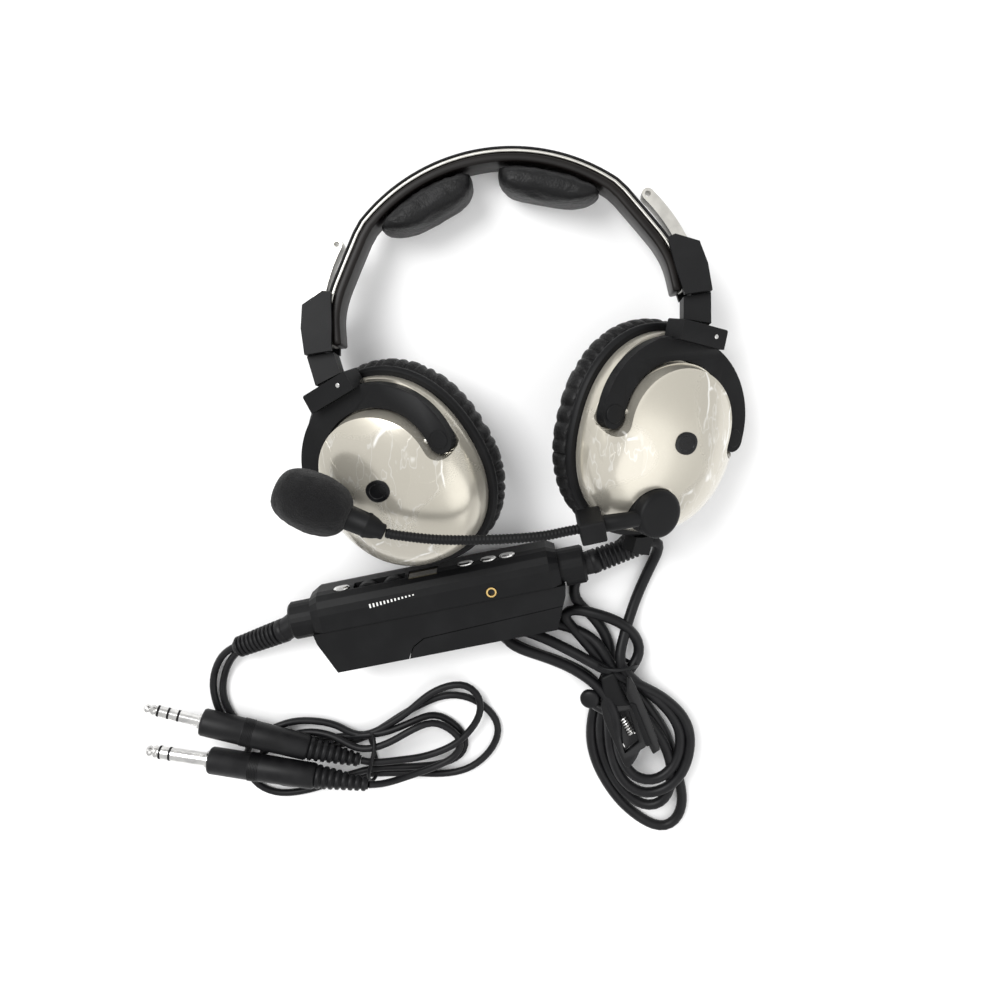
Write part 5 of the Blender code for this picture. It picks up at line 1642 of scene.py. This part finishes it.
# ---- boom microphone ------------------------------------------------------------------------------
@dataclass
class Boom:
    """Hub, clamp, ribbed gooseneck, microphone holder and foam windscreen on the left cup."""

    lie: Lie
    hub: Point = (-4.0, -30.0)
    hub_radius: float = 10.0
    neck: float = 4.2
    foam_radius: float = 12.3

    def build(self, looks: Finishes) -> None:
        """Make the boom's pieces and dress its solids.

        Args:
            looks: the finishes.
        """
        matrix = self.lie.cup(Side.LEFT)
        r = self.hub_radius
        profile = [(r - 0.4, 15.75), (r, 16.1), (r, 19.6), (r - 0.4, 20.5), (r - 1.3, 21.0), (r - 2.4, 21.2),
                   (3.0, 21.3), (0.1, 21.3)]
        cap = Shape.revolve([(0.1, 15.75)] + profile, 72).piece("hub_cap", looks.plastic, matrix @ shift(*self.hub), 40)
        settle(cap, "boom", Slot.PLASTIC)
        bar = smooth_route([(-7.0, -31.2, 18.0), (-13.0, -33.6, 17.0), (-19.0, -36.0, 14.6), (-24.0, -38.4, 11.6),
                            (-27.6, -40.2, 9.6)], 0.5)
        thick = route_length(bar)
        arm = Shape.sweep(bar, lambda d: 3.1 + 0.5 * (d / thick), 32).piece("boom_bar", looks.plastic, matrix, 60)
        settle(arm, "boom", Slot.PLASTIC, "boom_arm")
        route = [(-31.0, -42.4, 7.4), (-35.5, -44.6, 5.2), (-46.1, -49.2, 1.1), (-63.0, -54.8, -7.4),
                 (-79.1, -59.5, -17.6),
                 (-92.0, -61.9, -26.9), (-96.6, -62.3, -30.4)]
        points = smooth_route(route, 0.3)
        ribbed = Shape.sweep(points, lambda d: self.neck / 2 - 0.16 + 0.16 * math.cos(2 * math.pi * d / 1.5), 20)
        settle(ribbed.piece("ribbed_neck", looks.plastic, matrix, 80), "boom", Slot.PLASTIC, "gooseneck")
        dress(looks.plastic, "boom_clamp", "boom_hub_base", "cord_gland")
        self.microphone(looks, matrix)

    def microphone(self, looks: Finishes, matrix: Matrix) -> None:
        """Foam windscreen and the collar of the holder.

        Args:
            looks: the finishes.
            matrix: the boom's frame.
        """
        start, end, tip = (-96.9, -62.3, -30.6), (-111.5, -59.4, -38.8), (-138.0, -54.0, -52.6)
        place = matrix @ along(start, end)
        length = (Vector(end) - Vector(start)).length
        far = (place.inverted() @ matrix @ (Vector(tip) * MM)).z / MM
        near = length - 1.6
        middle, half = (near + far) / 2, (far - near) / 2
        profile = [(0.2, near + 0.4), (4.6, near + 0.2)]
        for step in range(1, 40):
            angle = math.pi * step / 40
            profile.append((self.foam_radius * math.sin(angle) ** 0.62, middle - half * math.cos(angle)))
        profile.append((0.1, far))
        foam = Shape.revolve(profile, 96).piece("foam_windscreen", looks.foam, place, 80)
        axis = (place.to_3x3() @ Vector((0.0, 0.0, 1.0))).normalized()
        for vertex in foam.data.vertices:
            out = vertex.co - place.translation
            out -= axis * out.dot(axis)
            vertex.co += out.normalized() * MM * (0.5 * noise.noise(vertex.co * 180.0) + 0.25
                                                  * noise.noise(vertex.co * 900.0))
        settle(foam, "microphone", Slot.FOAM, "windscreen")
        collar = [(1.9, 0.2), (2.9, 0.4), (3.3, 1.0), (3.3, 2.2), (4.4, 4.6), (5.0, 7.0), (5.3, 7.4), (5.3, 8.4),
                  (5.0, 8.8), (5.2, length), (4.6, length + 0.4), (0.1, length + 0.6)]
        holder = Shape.revolve([(0.1, 0.2)] + collar, 56).piece("holder_collar", looks.plastic, place, 40)
        settle(holder, "microphone", Slot.PLASTIC, "microphone_holder")


# ---- control module -------------------------------------------------------------------------------
@dataclass
class ControlModule:
    """In-line control module: dressed shells, printed scale and small details."""

    lie: Lie
    thick: float = 26.0

    def build(self, looks: Finishes) -> None:
        """Dress the module's solids and add its small details.

        Args:
            looks: the finishes.
        """
        dress(looks.plastic, "module_upper_shell", "module_lower_shell", "battery_door", "volume_wheel_1",
              "volume_wheel_2")
        dress(looks.metal, "power_button", "mode_button", "volume_up_button", "volume_down_button")
        dress(looks.lens, "display_window")
        dress(looks.board, "circuit_board")
        dress(looks.cell, "battery_1", "battery_2")
        dress(looks.brass, "auxiliary_jack")
        matrix = self.lie.module()
        ticks = Shape()
        for number in range(13):
            share = number / 12
            u, v = 39.1 + 19.8 * share, 4.4 + 1.2 * share
            size = 1.9 - 1.3 * share
            ticks.add(Shape.box((u - 0.35, v - size / 2, self.thick - 0.1),
                                (u + 0.35, v + size / 2, self.thick + 0.06)))
        settle(ticks.piece("loudness_scale", looks.pale, matrix), "headband", Slot.PLASTIC)
        # Thin gloss black disc over the jack's opening, standing for the painted shade inside its bore.
        bore = Shape.revolve([(1.55, 25.0), (1.55, 25.2), (0.2, 25.3)], 24)
        settle(bore.piece("jack_bore", looks.gloss, matrix @ shift(92.9, -0.4)), "headband", Slot.GLOSS)


# ---- everything -----------------------------------------------------------------------------------
def main() -> None:
    """Build the classes in order."""
    logging.basicConfig(level=logging.INFO, format="%(name)s: %(message)s")
    lie = Lie()
    Studio().build()
    looks = Finishes()
    plugs = Plugs().build(looks)
    reliefs = Reliefs().build(looks)
    clip = Clip().build(looks)
    plugs["upper"].append(reliefs["left"])
    MainCord().build(looks, [*clip, reliefs["right"]])
    TwinCords().build(looks, plugs)
    Headband(lie).build(looks)
    for side in Side:
        EarCup(lie, side).build(looks)
    Boom(lie).build(looks)
    ControlModule(lie).build(looks)


if __name__ == "__main__":
    main()
